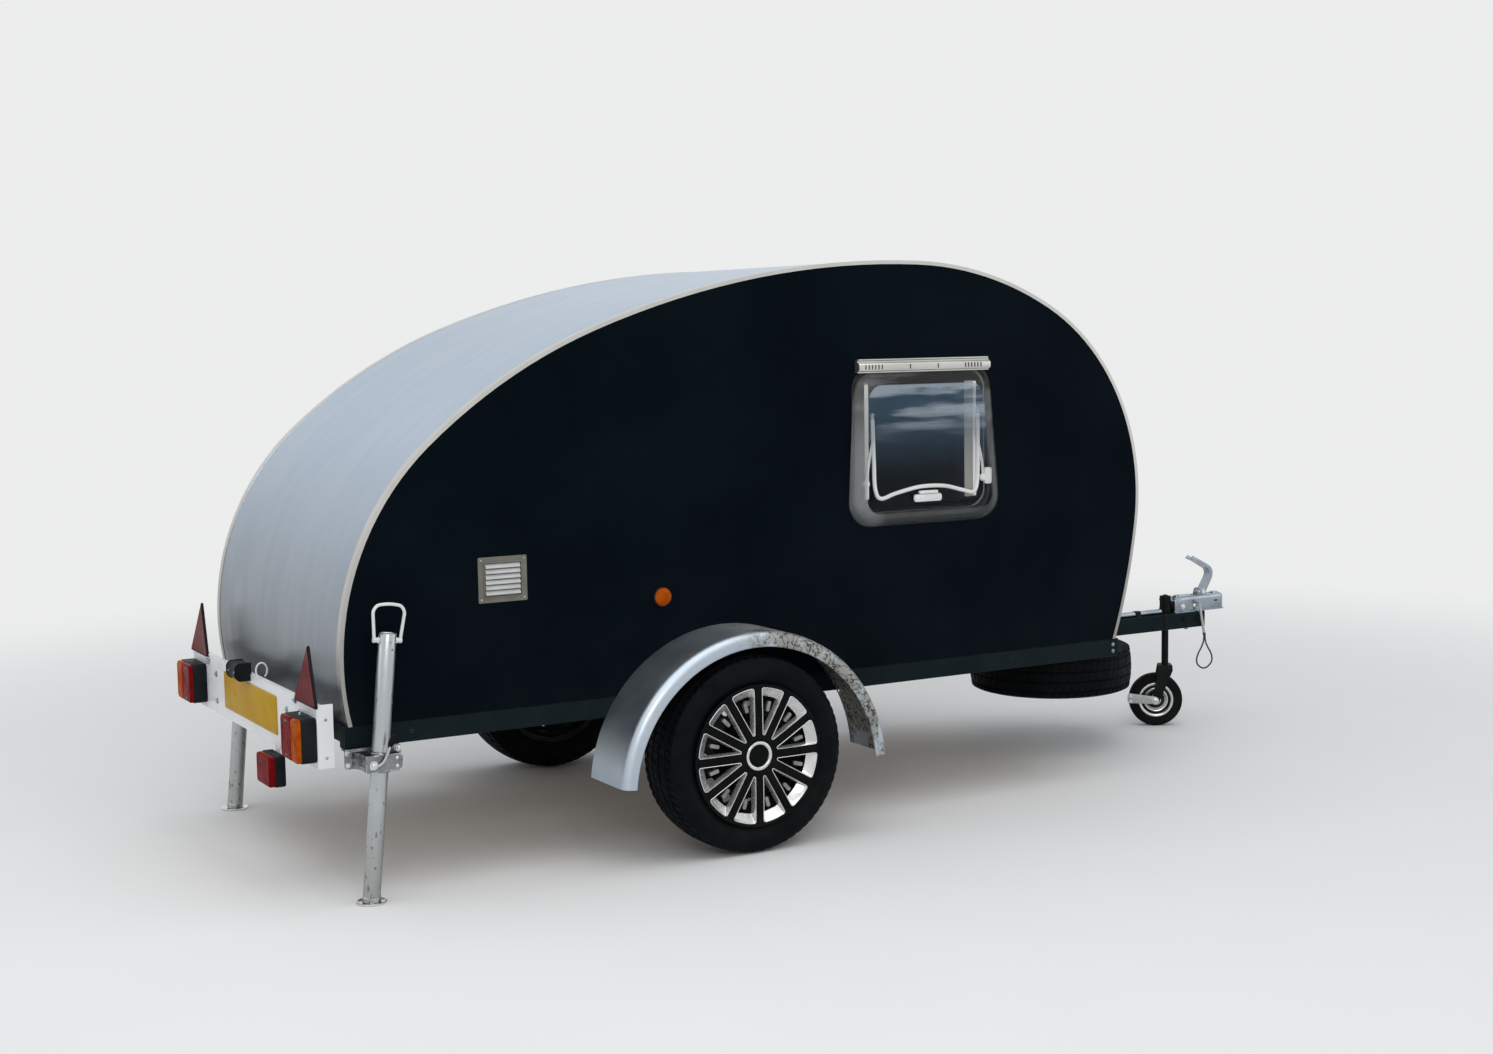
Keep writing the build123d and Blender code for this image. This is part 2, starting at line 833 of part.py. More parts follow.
# Door in the left side: a plug as thick as the wall under a wider skin, hinged at its front edge
door_z = door_bottom_z + door_height / 2
hinge_x = door_x + door_width / 2 + door_overlap + 1
hinge_y = half_width + hinge_radius + 3
skin_gap = 0.3
with BuildPart() as door:
    with BuildSketch(side_plane(1, half_width + skin_gap)):
        with Locations((door_x, door_z)):
            RectangleRounded(door_width - 2 * door_gap, door_height - 2 * door_gap, door_corner - door_gap)
    extrude(amount=wall)
    with BuildSketch(side_plane(1, half_width + skin_gap)):
        with Locations((door_x, door_z)):
            RectangleRounded(
                door_width + 2 * door_overlap, door_height + 2 * door_overlap, door_corner + door_overlap
            )
    extrude(amount=-door_skin)
    with BuildSketch(side_plane(1, half_width + 10)):
        with Locations((door_x, door_window_z)):
            RectangleRounded(door_window_width, door_window_height, door_window_corner)
    extrude(amount=wall + 20, mode=Mode.SUBTRACT)
write(door.part, "door")

skin_y = half_width + skin_gap + door_skin
with BuildPart() as door_window:
    with BuildSketch(side_plane(1, skin_y)):
        with Locations((door_x, door_window_z)):
            RectangleRounded(
                door_window_width + 2 * door_pane_overlap,
                door_window_height + 2 * door_pane_overlap,
                door_window_corner + 20,
            )
    extrude(amount=-door_pane_bulge)
    fillet(door_window.faces().sort_by(Axis.Y)[-1].edges(), door_pane_round)
    offset(amount=-pane_wall, openings=door_window.faces().sort_by(Axis.Y)[0])
write(door_window.part, "door_window")

# Hinges: a fixed leaf with two knuckles and the pin, and a door leaf with the middle knuckle
hinge_levels = [door_z - door_height / 2 + 170, door_z + door_height / 2 - 170]
knuckle = hinge_length / 3
with BuildPart() as hinge_leaves:
    for level in hinge_levels:
        with BuildSketch(Plane.XY.offset(level - hinge_length / 2)):
            with Locations((hinge_x, hinge_y)):
                Circle(hinge_radius)
            with Locations((hinge_x + 20, half_width + 1.5)):
                Rectangle(40, 3)
            with Locations((hinge_x + 3.5, half_width + hinge_radius / 2 + 1.5)):
                Rectangle(7, hinge_radius + 3)
        extrude(amount=hinge_length)
        with BuildSketch(Plane.XY.offset(level - knuckle / 2)):
            with Locations((hinge_x, hinge_y)):
                Circle(hinge_radius + 5)
            with Locations((hinge_x - 20, hinge_y)):
                Rectangle(40, 2 * hinge_radius + 10)
        extrude(amount=knuckle, mode=Mode.SUBTRACT)
        with BuildSketch(Plane.XY.offset(level - hinge_length / 2)):
            with Locations((hinge_x, hinge_y)):
                Circle(hinge_pin)
        extrude(amount=hinge_length)
write(hinge_leaves.part, "hinge_leaves")

with BuildPart() as door_leaves:
    for level in hinge_levels:
        with BuildSketch(Plane.XY.offset(level - knuckle / 2 + 0.5)):
            with Locations((hinge_x, hinge_y)):
                Circle(hinge_radius)
            with Locations((hinge_x - 23, skin_y + 1.25)):
                Rectangle(46, 2.5)
            with Locations((hinge_x - 3, skin_y + hinge_radius / 2)):
                Rectangle(6, hinge_radius)
            with Locations((hinge_x, hinge_y)):
                Circle(hinge_pin + 0.3, mode=Mode.SUBTRACT)
        extrude(amount=knuckle - 1)
write(door_leaves.part, "door_leaves")

lock_x = door_x - door_width / 2 + 55
with BuildPart() as door_lock:
    with BuildSketch(side_plane(1, skin_y)):
        with Locations((lock_x, door_z - 40)):
            RectangleRounded(lock_width, lock_height, 14)
    extrude(amount=-10)
    fillet(door_lock.faces().sort_by(Axis.Y)[-1].edges(), 3)
    with BuildSketch(side_plane(1, skin_y + 10)):
        with Locations((lock_x + 6, door_z - 30)):
            RectangleRounded(26, 66, 8)
    extrude(amount=-14)
write(door_lock.part, "door_lock")

with BuildPart() as mattress:
    with BuildSketch(Plane.XY.offset(rail_top + wall + 0.3)):
        with Locations((mattress_front_x - mattress_length / 2, 0)):
            RectangleRounded(mattress_length, 2 * (half_width - wall - mattress_gap), mattress_corner)
    extrude(amount=mattress_height)
    fillet(mattress.faces().sort_by(Axis.Z)[-1].edges(), mattress_round)
write(mattress.part, "mattress")

# Louvred vents low at the rear of both sides
with BuildPart() as side_vents:
    for side, hand in sides:
        with BuildSketch(side_plane(side, half_width)):
            with Locations((vent_x, vent_z)):
                RectangleRounded(vent_width, vent_height, 4)
        extrude(amount=-side * 3)
        with BuildSketch(side_plane(side, half_width + 3)):
            with Locations((vent_x, vent_z)):
                RectangleRounded(vent_width - 30, vent_height - 26, 8)
        extrude(amount=-side * 5)
        with BuildSketch(side_plane(side, half_width + 2)):
            with Locations((vent_x, vent_z)):
                with GridLocations(0, vent_pitch, 1, vent_slots):
                    SlotOverall(vent_width - 46, 7)
        extrude(amount=-side * 10, mode=Mode.SUBTRACT)
write(side_vents.part, "side_vents")

# Coupling head: pressed channel on the drawbar with the ball socket under its nose
coupling_top = drawbar_top + coupling_height
with BuildPart() as coupling_head:
    with BuildSketch(Plane.XZ):
        with BuildLine():
            Polyline(
                (coupling_rear_x + 60, drawbar_top),
                (coupling_rear_x + 60, coupling_top - 14),
                (coupling_rear_x + 76, coupling_top),
                (ball_x, coupling_top),
                (ball_x, drawbar_top),
                close=True,
            )
        make_face()
    extrude(amount=coupling_half, both=True)
    with BuildSketch(Plane.XY.offset(drawbar_top)):
        with Locations((ball_x, 0)):
            Circle(head_radius)
    extrude(amount=coupling_height)
    fillet(coupling_head.edges().group_by(Axis.Z)[-1], 11)
    with BuildSketch(Plane.XY.offset(drawbar_top)):
        with Locations(((coupling_rear_x + 60 + ball_x) / 2, 0)):
            Rectangle(ball_x - coupling_rear_x - 60, 2 * (coupling_half + coupling_lip))
        with Locations((ball_x, 0)):
            Circle(head_radius + coupling_lip)
    extrude(amount=coupling_lip)
    with BuildSketch(Plane.XY.offset(drawbar_top)):
        with Locations((ball_x, 0)):
            Circle(ball_radius)
    extrude(amount=socket_depth, mode=Mode.SUBTRACT)
    with Locations((ball_x, 0, drawbar_top + socket_depth)):
        Sphere(ball_radius, mode=Mode.SUBTRACT)
    for reach in (-1, 1):
        with BuildSketch(Plane.XZ.offset(reach * (lever_half + 0.3))):
            with Locations((lever_x, coupling_top + 6)):
                Rectangle(30, 32)
        extrude(amount=reach * 4)
    with BuildSketch(Plane.XZ.offset(coupling_half)):
        with Locations((lever_x, coupling_top + lever_eye)):
            Circle(4.3)
    extrude(amount=-2 * coupling_half, mode=Mode.SUBTRACT)
write(coupling_head.part, "coupling_head")



# The lever's outer line: up and forward from its eye, then bent back over the drawbar
def lever_line():
    FilletPolyline(
        (lever_x, coupling_top + lever_eye),
        (lever_x + 46, coupling_top + lever_eye + 74),
        (lever_x - 64, coupling_top + lever_eye + 124),
        radius=24,
    )


with BuildPart() as coupling_lever:
    with BuildSketch(Plane.XZ.offset(lever_half)):
        with BuildLine():
            lever_line()
            offset(amount=lever_sheet, side=Side.LEFT)
        make_face()
        with Locations((lever_x, coupling_top + lever_eye)):
            Circle(7)
    extrude(amount=-2 * lever_half)
    for start in (lever_half, lever_sheet - lever_half):
        with BuildSketch(Plane.XZ.offset(start)):
            with BuildLine():
                lever_line()
                offset(amount=lever_depth, side=Side.LEFT)
            make_face()
        extrude(amount=-lever_sheet)
    with BuildSketch(Plane.XZ.offset(lever_half + 4.3)):
        with Locations((lever_x, coupling_top + lever_eye)):
            Circle(4)
    extrude(amount=-2 * (lever_half + 4.3))
write(coupling_lever.part, "coupling_lever")

# Jockey wheel: clamp and tube through the drawbar, castor fork and a small wheel
turn = radians(jockey_turn)
castor_forward = Vector(cos(turn), -sin(turn), 0)
castor_side = Vector(-sin(turn), -cos(turn), 0)
axle_point = Vector(jockey_x, 0, jockey_radius) - castor_forward * jockey_trail
crown_z = 2 * jockey_radius + 12
crown_height = 22
post_height = 22
with BuildPart() as jockey_clamp:
    with BuildSketch(Plane.XY.offset(drawbar_top)):
        with Locations((jockey_x, 0)):
            RectangleRounded(jockey_block, jockey_block, 4)
            Circle(jockey_stem_radius + bore_gap, mode=Mode.SUBTRACT)
    extrude(amount=jockey_block_height)
write(jockey_clamp.part, "jockey_clamp")

stem_bottom = crown_z + crown_height + 0.3
stem_top = drawbar_top + jockey_block_height + 4
with BuildPart() as jockey_stem:
    with BuildSketch(Plane.XY.offset(stem_bottom)):
        with Locations((jockey_x, 0)):
            Circle(jockey_stem_radius)
    extrude(amount=stem_top - stem_bottom)
    with BuildSketch(Plane.XY.offset(stem_bottom)):
        with Locations((jockey_x, 0)):
            Circle(castor_post_radius + 0.3)
    extrude(amount=post_height, mode=Mode.SUBTRACT)
write(jockey_stem.part, "jockey_stem")

cheek_reach = jockey_width / 2 + 5
cheek_plane = Plane(origin=(jockey_x, 0, 0), x_dir=castor_forward, z_dir=castor_side)
with BuildPart() as jockey_fork:
    for reach in (-1, 1):
        with BuildSketch(cheek_plane.offset(reach * cheek_reach)):
            with BuildLine():
                Polyline(
                    (-26, crown_z + crown_height),
                    (26, crown_z + crown_height),
                    (26, crown_z),
                    (-jockey_trail + 14, jockey_radius),
                    (-jockey_trail - 14, jockey_radius),
                    close=True,
                )
            make_face()
            with Locations((-jockey_trail, jockey_radius)):
                Circle(14)
        extrude(amount=reach * jockey_cheek)
    with BuildSketch(cheek_plane.offset(-cheek_reach)):
        with BuildLine():
            Polyline(
                (-26, crown_z + crown_height),
                (26, crown_z + crown_height),
                (26, crown_z + crown_height - 6),
                (-26, crown_z + crown_height - 6),
                close=True,
            )
        make_face()
    extrude(amount=2 * cheek_reach)
    with BuildSketch(cheek_plane.offset(-cheek_reach)):
        with Locations((-jockey_trail, jockey_radius)):
            Circle(6)
    extrude(amount=2 * cheek_reach)
    with BuildSketch(Plane.XY.offset(crown_z + crown_height - 3)):
        with Locations((jockey_x, 0)):
            Circle(castor_post_radius)
    extrude(amount=post_height)
    with BuildSketch(cheek_plane.offset(cheek_reach + jockey_cheek)):
        with Locations((-jockey_trail - 50, jockey_radius + 4)):
            RectangleRounded(jockey_bar_length, jockey_bar_height, 5)
    extrude(amount=jockey_cheek)
write(jockey_fork.part, "jockey_fork")

jockey_plane = Plane(origin=axle_point, x_dir=castor_side, z_dir=castor_side.cross(Vector(0, 0, 1)))
jockey_line = Axis(axle_point, castor_side)
jockey_bead = 62
with BuildPart() as jockey_tyre:
    with BuildSketch(jockey_plane):
        with BuildLine():
            tyre_section(jockey_radius, jockey_width, jockey_bead, 16.5, 4)
        make_face()
    revolve(axis=jockey_line)
write(jockey_tyre.part, "jockey_tyre")

with BuildPart() as jockey_rim:
    with BuildSketch(jockey_plane):
        with BuildLine():
            Polyline(
                (-19, jockey_bead + 3),
                (-17, jockey_bead),
                (17, jockey_bead),
                (19, jockey_bead + 3),
                (21, jockey_bead + 3),
                (21, jockey_bead - 4),
                (8, jockey_bead - 6),
                (6, 24),
                (24, 20),
                (24, 6.3),
                (-24, 6.3),
                (-24, 20),
                (-6, 24),
                (-8, jockey_bead - 6),
                (-21, jockey_bead - 4),
                (-21, jockey_bead + 3),
                close=True,
            )
        make_face()
    revolve(axis=jockey_line)
write(jockey_rim.part, "jockey_rim")

# Spare wheel lying flat under the drawbar, held by a threaded rod and a plate
spare_z = drawbar_bottom - spare_gap - spare_width / 2
spare_plane = Plane(origin=(spare_x, 0, spare_z), x_dir=(0, 0, 1), z_dir=(0, 1, 0))
spare_line = Axis((spare_x, 0, spare_z), (0, 0, 1))
with BuildPart() as spare_tyre:
    with BuildSketch(spare_plane):
        with BuildLine():
            tyre_section(tyre_radius, spare_width, bead_radius, rim_half - seat_inset, seat_lip)
        make_face()
    revolve(axis=spare_line)
write(spare_tyre.part, "spare_tyre")

with BuildPart() as spare_rim:
    with BuildSketch(spare_plane):
        with BuildLine():
            rim_section()
        make_face()
    revolve(axis=spare_line)
write(spare_rim.part, "spare_rim")

with BuildPart() as spare_carrier:
    with BuildSketch(Plane.XY.offset(spare_z + 20 - disc_thickness - 6)):
        with Locations((spare_x, 0)):
            Circle(55)
    extrude(amount=6)
    with BuildSketch(Plane.XY.offset(spare_z - 20)):
        with Locations((spare_x, 0)):
            Circle(8)
    extrude(amount=drawbar_bottom - spare_z + 20)
write(spare_carrier.part, "spare_carrier")

# Safety cable: a leaning sleeve from the coupling's side and a hanging loop below it
cable_x = lever_x - 17
cable_y = -(drawbar_half + 8)
cable_radius = 2.4
sleeve_radius = 5
sleeve_lean = 30
loop_top = 334
sleeve_foot = Vector(cable_x, cable_y, loop_top + 1.2)
sleeve_head = Vector(cable_x - sleeve_lean, cable_y, coupling_top - 12)
with BuildPart() as cable_sleeve:
    with BuildSketch(Plane(origin=sleeve_foot, z_dir=sleeve_head - sleeve_foot)):
        Circle(sleeve_radius)
    extrude(amount=(sleeve_head - sleeve_foot).length)
    with BuildSketch(Plane.XZ.offset(coupling_half)):
        with Locations((sleeve_head.X, sleeve_head.Z - 10)):
            Circle(sleeve_radius)
    extrude(amount=-cable_y - coupling_half)
write(cable_sleeve.part, "cable_sleeve")

loop_points = [
    (-2.5, 0), (-3, -20), (-16, -44), (-38, -74), (-40, -106), (0, -130),
    (40, -106), (38, -74), (16, -44), (3, -20), (2.5, 0),
]
with BuildPart() as safety_cable:
    with BuildLine() as loop_path:
        corners = [Vector(cable_x + a, cable_y, loop_top + b) for a, b in loop_points]
        radii = []
        for before, here, after in zip(corners, corners[1:], corners[2:]):
            bend = (here - before).get_angle(after - here)
            shorter = min((here - before).length, (after - here).length)
            radii.append(0.45 * shorter / tan(radians(bend) / 2))
        FilletPolyline(*corners, radius=radii)
    with BuildSketch(Plane(origin=loop_path.line @ 0, z_dir=loop_path.line % 0)):
        Circle(cable_radius)
    sweep()
write(safety_cable.part, "safety_cable")
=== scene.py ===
import bmesh
import bpy
import numpy as np
from math import asin, cos, pi, radians, sin, sqrt, tan
from mathutils import Matrix, Vector


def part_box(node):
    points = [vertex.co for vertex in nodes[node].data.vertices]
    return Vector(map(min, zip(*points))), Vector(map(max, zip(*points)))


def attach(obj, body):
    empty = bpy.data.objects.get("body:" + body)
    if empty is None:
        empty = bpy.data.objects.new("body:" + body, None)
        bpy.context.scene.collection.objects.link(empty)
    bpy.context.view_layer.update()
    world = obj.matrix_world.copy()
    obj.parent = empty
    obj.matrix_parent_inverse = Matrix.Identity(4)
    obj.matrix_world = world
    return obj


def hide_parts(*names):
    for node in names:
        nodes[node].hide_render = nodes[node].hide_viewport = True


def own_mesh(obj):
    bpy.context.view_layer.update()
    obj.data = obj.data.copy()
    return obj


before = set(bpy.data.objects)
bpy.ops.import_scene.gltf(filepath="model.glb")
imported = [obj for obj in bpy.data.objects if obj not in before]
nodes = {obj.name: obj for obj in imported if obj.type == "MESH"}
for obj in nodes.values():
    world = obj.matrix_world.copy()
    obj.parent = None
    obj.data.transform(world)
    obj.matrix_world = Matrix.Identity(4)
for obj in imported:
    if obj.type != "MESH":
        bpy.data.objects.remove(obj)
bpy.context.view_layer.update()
hands = {"right": -1, "left": 1}
print("frame loaded,", len(nodes), "nodes")

# Camera and studio
cameraSettings = {
    "place": (-3.5426, -5.7809, 1.5344),
    "azimuth": -30.126, "pitch": 5.6675, "roll": -0.8419,   # degrees, pitch is downwards
    "lens": 48.83, "sensor": 36.0,
}
studio = {
    "floorTone": 0.84, "backdropTone": 0.84, "fadeStart": 1.9, "fadeEnd": 6.0,   # metres from the middle
    "ambient": 0.5, "floorReach": 60.0,
    # place, aimed at, size, power of each lamp
    "lamps": {
        "overhead": ((-1.0, -1.2, 5.0), (-0.3, 0.0, 0.8), (7.4, 5.8), 148),
        "cameraSide": ((-3.2, -6.2, 3.4), (-0.2, -0.6, 0.7), (3.2, 2.0), 74),
        "rear": ((-6.5, 1.5, 2.8), (-1.6, 0.0, 0.8), (4.4, 3.6), 32),
        "front": ((6.0, -2.8, 2.6), (1.3, 0.0, 0.5), (4.2, 3.4), 32),
    },
}


def makeCamera(settings):
    # View axes from azimuth and pitch, then both cross axes turned by the roll
    azimuth, pitch, roll = (radians(settings[k]) for k in ("azimuth", "pitch", "roll"))
    ahead = Vector((-sin(azimuth) * cos(pitch), cos(azimuth) * cos(pitch), -sin(pitch)))
    level = Vector((cos(azimuth), sin(azimuth), 0))
    upright = level.cross(ahead)
    right = level * cos(roll) + upright * sin(roll)
    up = upright * cos(roll) - level * sin(roll)
    data = bpy.data.cameras.new("photoCamera")
    data.sensor_width = settings["sensor"]
    data.lens = settings["lens"]
    camera = bpy.data.objects.new("photoCamera", data)
    turn = Matrix((right, up, -ahead)).transposed().to_4x4()
    camera.matrix_world = Matrix.Translation(settings["place"]) @ turn
    bpy.context.scene.collection.objects.link(camera)
    bpy.context.scene.camera = camera


def makeLamps(lamps):
    for name, (place, aim, size, power) in lamps.items():
        data = bpy.data.lights.new(name, "AREA")
        data.shape = "RECTANGLE"
        data.size, data.size_y = size
        data.energy = power
        lamp = bpy.data.objects.new(name, data)
        lamp.location = place
        lamp.rotation_euler = (Vector(aim) - Vector(place)).to_track_quat("-Z", "Y").to_euler()
        bpy.context.scene.collection.objects.link(lamp)


# Node helpers
def addNode(tree, kind, **settings):
    node = tree.nodes.new(kind)
    for key, value in settings.items():
        setattr(node, key, value)
    return node


def feed(tree, target, value):
    # Wires a socket into the target, or sets the target's own value
    if isinstance(value, bpy.types.NodeSocket):
        tree.links.new(value, target)
    else:
        target.default_value = value


def sums(tree, kind, first, second, third=None, clamp=False):
    node = addNode(tree, "ShaderNodeMath", operation=kind, use_clamp=clamp)
    feed(tree, node.inputs[0], first)
    feed(tree, node.inputs[1], second)
    if third is not None:
        feed(tree, node.inputs[2], third)
    return node.outputs[0]


def times(tree, first, second, clamp=False):
    return sums(tree, "MULTIPLY", first, second, clamp=clamp)


def objectAxes(tree):
    # The piece's own x, y and z
    axes = addNode(tree, "ShaderNodeSeparateXYZ")
    feed(tree, axes.inputs[0], addNode(tree, "ShaderNodeTexCoord").outputs["Object"])
    return axes.outputs


def addRelief(tree, shader, height):
    # Height in metres, at full strength
    bump = addNode(tree, "ShaderNodeBump")
    bump.inputs["Distance"].default_value = 1.0
    bump.inputs["Strength"].default_value = 1.0
    feed(tree, bump.inputs["Height"], height)
    feed(tree, shader.inputs["Normal"], bump.outputs[0])


def blendTones(tree, share, first, second, mode="MIX"):
    node = addNode(tree, "ShaderNodeMix", data_type="RGBA", blend_type=mode)
    feed(tree, node.inputs[0], share)
    for socket, tone in ((node.inputs[6], first), (node.inputs[7], second)):
        feed(tree, socket, tone if isinstance(tone, bpy.types.NodeSocket) else (*tone, 1))
    return node.outputs[2]


def spread(tree, value, low, high, newLow=0.0, newHigh=1.0, smooth=True):
    node = addNode(tree, "ShaderNodeMapRange", clamp=True)
    node.interpolation_type = "SMOOTHSTEP" if smooth else "LINEAR"
    for socket, number in zip(node.inputs, (value, low, high, newLow, newHigh)):
        feed(tree, socket, number)
    return node.outputs[0]


def backdropRays(tree):
    # One for rays that see the backdrop: straight from the camera, mirrored or through glass
    path = addNode(tree, "ShaderNodeLightPath")
    seen = sums(tree, "ADD", path.outputs["Is Camera Ray"], path.outputs["Is Glossy Ray"])
    return sums(tree, "ADD", seen, path.outputs["Is Transmission Ray"], clamp=True)


def newMaterial(name):
    material = bpy.data.materials.new(name)
    material.use_nodes = True
    return material, material.node_tree, material.node_tree.nodes["Principled BSDF"]


def makeStudio(values):
    world = bpy.data.worlds.new("studioWorld")
    bpy.context.scene.world = world
    world.use_nodes = True
    tree = world.node_tree
    tree.nodes.clear()
    back = values["backdropTone"]
    backTone = (back, back * 1.005, back * 1.01, 1)
    lit = addNode(tree, "ShaderNodeBackground")
    lit.inputs["Color"].default_value = (0.93, 0.96, 1.0, 1)
    lit.inputs["Strength"].default_value = values["ambient"]
    seen = addNode(tree, "ShaderNodeBackground")
    seen.inputs["Color"].default_value = backTone
    mix = addNode(tree, "ShaderNodeMixShader")
    feed(tree, mix.inputs[0], backdropRays(tree))
    feed(tree, mix.inputs[1], lit.outputs[0])
    feed(tree, mix.inputs[2], seen.outputs[0])
    feed(tree, addNode(tree, "ShaderNodeOutputWorld").inputs[0], mix.outputs[0])

    # The floor: pale, and far from the middle it turns into the backdrop's own tone
    reach = values["floorReach"]
    mesh = bpy.data.meshes.new("studioFloor")
    corners = [(-reach, -reach, 0), (reach, -reach, 0), (reach, reach, 0), (-reach, reach, 0)]
    mesh.from_pydata(corners, [], [(0, 1, 2, 3)])
    floor = bpy.data.objects.new("studioFloor", mesh)
    bpy.context.scene.collection.objects.link(floor)
    material, tree, shader = newMaterial("studioFloorPaint")
    tone = values["floorTone"]
    place = addNode(tree, "ShaderNodeTexCoord").outputs["Object"]
    grain = addNode(tree, "ShaderNodeTexNoise")
    feed(tree, grain.inputs["Vector"], place)
    grain.inputs["Scale"].default_value = 1.7
    feed(tree, shader.inputs["Base Color"], blendTones(tree, grain.outputs[0], (tone * 0.98,) * 3,
        (tone * 1.02, tone * 1.02, tone * 1.01)))
    shader.inputs["Roughness"].default_value = 0.85
    shader.inputs["Specular IOR Level"].default_value = 0.1
    distance = addNode(tree, "ShaderNodeVectorMath", operation="LENGTH")
    feed(tree, distance.inputs[0], place)
    share = spread(tree, distance.outputs["Value"], values["fadeStart"], values["fadeEnd"])
    glow = addNode(tree, "ShaderNodeEmission")
    glow.inputs["Color"].default_value = backTone
    mix = addNode(tree, "ShaderNodeMixShader")
    feed(tree, mix.inputs[0], times(tree, share, backdropRays(tree)))
    feed(tree, mix.inputs[1], shader.outputs[0])
    feed(tree, mix.inputs[2], glow.outputs[0])
    feed(tree, tree.nodes["Material Output"].inputs[0], mix.outputs[0])
    floor.data.materials.append(material)


makeCamera(cameraSettings)
makeLamps(studio["lamps"])
makeStudio(studio)
bpy.context.scene.view_settings.view_transform = "Standard"
print("camera, lamps and floor made")


# Shader groups shared by the finishes; each gives only masks, values and heights
def shaderGroup(name, inputs, outputs):
    tree = bpy.data.node_groups.new(name, "ShaderNodeTree")
    for label, kind, value in inputs:
        socket = tree.interface.new_socket(label, in_out="INPUT", socket_type="NodeSocket" + kind)
        socket.default_value = value
    for label in outputs:
        tree.interface.new_socket(label, in_out="OUTPUT", socket_type="NodeSocketFloat")
    ins = addNode(tree, "NodeGroupInput").outputs
    outs = addNode(tree, "NodeGroupOutput").inputs
    return tree, ins, outs


def stretchedNoise(tree, scale, stretch, detail, roughness=0.55):
    mapping = addNode(tree, "ShaderNodeMapping")
    feed(tree, mapping.inputs["Vector"], addNode(tree, "ShaderNodeTexCoord").outputs["Object"])
    feed(tree, mapping.inputs["Scale"], stretch)
    noise = addNode(tree, "ShaderNodeTexNoise")
    feed(tree, noise.inputs["Vector"], mapping.outputs[0])
    feed(tree, noise.inputs["Scale"], scale)
    noise.inputs["Detail"].default_value = detail
    noise.inputs["Roughness"].default_value = roughness
    return noise.outputs[0]


def makeDriftGroup():
    # Slow change of tone: stretched noise, widened to the full range
    tree, ins, outs = shaderGroup("toneDrift", [("Scale", "Float", 4.0), ("Stretch", "Vector", (1, 1, 1))],
        ["Value"])
    feed(tree, outs["Value"], spread(tree, stretchedNoise(tree, ins["Scale"], ins["Stretch"], 5), 0.32, 0.68))
    return tree


def makeGrainGroup():
    # Fine relief: stretched noise as a height in metres
    tree, ins, outs = shaderGroup("fineGrain", [("Scale", "Float", 800.0), ("Stretch", "Vector", (1, 1, 1)),
        ("Depth", "Float", 0.00003)], ["Value", "Height"])
    noise = stretchedNoise(tree, ins["Scale"], ins["Stretch"], 3)
    feed(tree, outs["Value"], noise)
    feed(tree, outs["Height"], times(tree, noise, ins["Depth"]))
    return tree


def makeWearGroup():
    # Rubbed edges: where a rounded normal leaves the real one, broken up by noise
    tree, ins, outs = shaderGroup("edgeWear", [("Radius", "Float", 0.002), ("Amount", "Float", 0.5),
        ("Scale", "Float", 60.0)], ["Mask"])
    rounded = addNode(tree, "ShaderNodeBevel", samples=4)
    feed(tree, rounded.inputs["Radius"], ins["Radius"])
    straight = addNode(tree, "ShaderNodeNewGeometry")
    facing = addNode(tree, "ShaderNodeVectorMath", operation="DOT_PRODUCT")
    feed(tree, facing.inputs[0], rounded.outputs[0])
    feed(tree, facing.inputs[1], straight.outputs["Normal"])
    edge = spread(tree, facing.outputs["Value"], 0.995, 0.9)
    patches = spread(tree, stretchedNoise(tree, ins["Scale"], (1, 1, 1), 4), 0.4, 0.6)
    feed(tree, outs["Mask"], times(tree, times(tree, edge, patches), ins["Amount"], clamp=True))
    return tree


def makeDustGroup():
    # Road dust: on faces that look up, and thrown up from the floor to a set height
    tree, ins, outs = shaderGroup("roadDust", [("Amount", "Float", 0.3), ("Reach", "Float", 0.6),
        ("Scale", "Float", 9.0)], ["Mask"])
    surface = addNode(tree, "ShaderNodeNewGeometry")
    normal = addNode(tree, "ShaderNodeSeparateXYZ")
    feed(tree, normal.inputs[0], surface.outputs["Normal"])
    lying = times(tree, spread(tree, normal.outputs["Z"], 0.2, 1.0), 0.55)
    thrown = sums(tree, "SUBTRACT", 1.0, sums(tree, "DIVIDE", objectAxes(tree)["Z"], ins["Reach"]),
        clamp=True)
    clouds = spread(tree, stretchedNoise(tree, ins["Scale"], (1, 1, 1), 6, 0.65), 0.3, 0.72)
    both = sums(tree, "MAXIMUM", lying, sums(tree, "POWER", thrown, 1.5))
    feed(tree, outs["Mask"], times(tree, times(tree, both, clouds), ins["Amount"], clamp=True))
    return tree


def makeScratchGroup():
    # Hair scratches: two crossed sets of very long thin noise, only their peaks
    tree, ins, outs = shaderGroup("hairScratches", [("Scale", "Float", 30.0), ("Amount", "Float", 0.4)],
        ["Mask"])
    marks = []
    for stretch in ((0.6, 18, 22), (16, 1.1, 9)):
        noise = stretchedNoise(tree, ins["Scale"], stretch, 2)
        marks.append(spread(tree, noise, 0.66, 0.74))
    gate = spread(tree, stretchedNoise(tree, 5.0, (1, 1, 1), 3), 0.45, 0.62)
    both = sums(tree, "MAXIMUM", marks[0], marks[1])
    feed(tree, outs["Mask"], times(tree, times(tree, both, gate), ins["Amount"], clamp=True))
    return tree


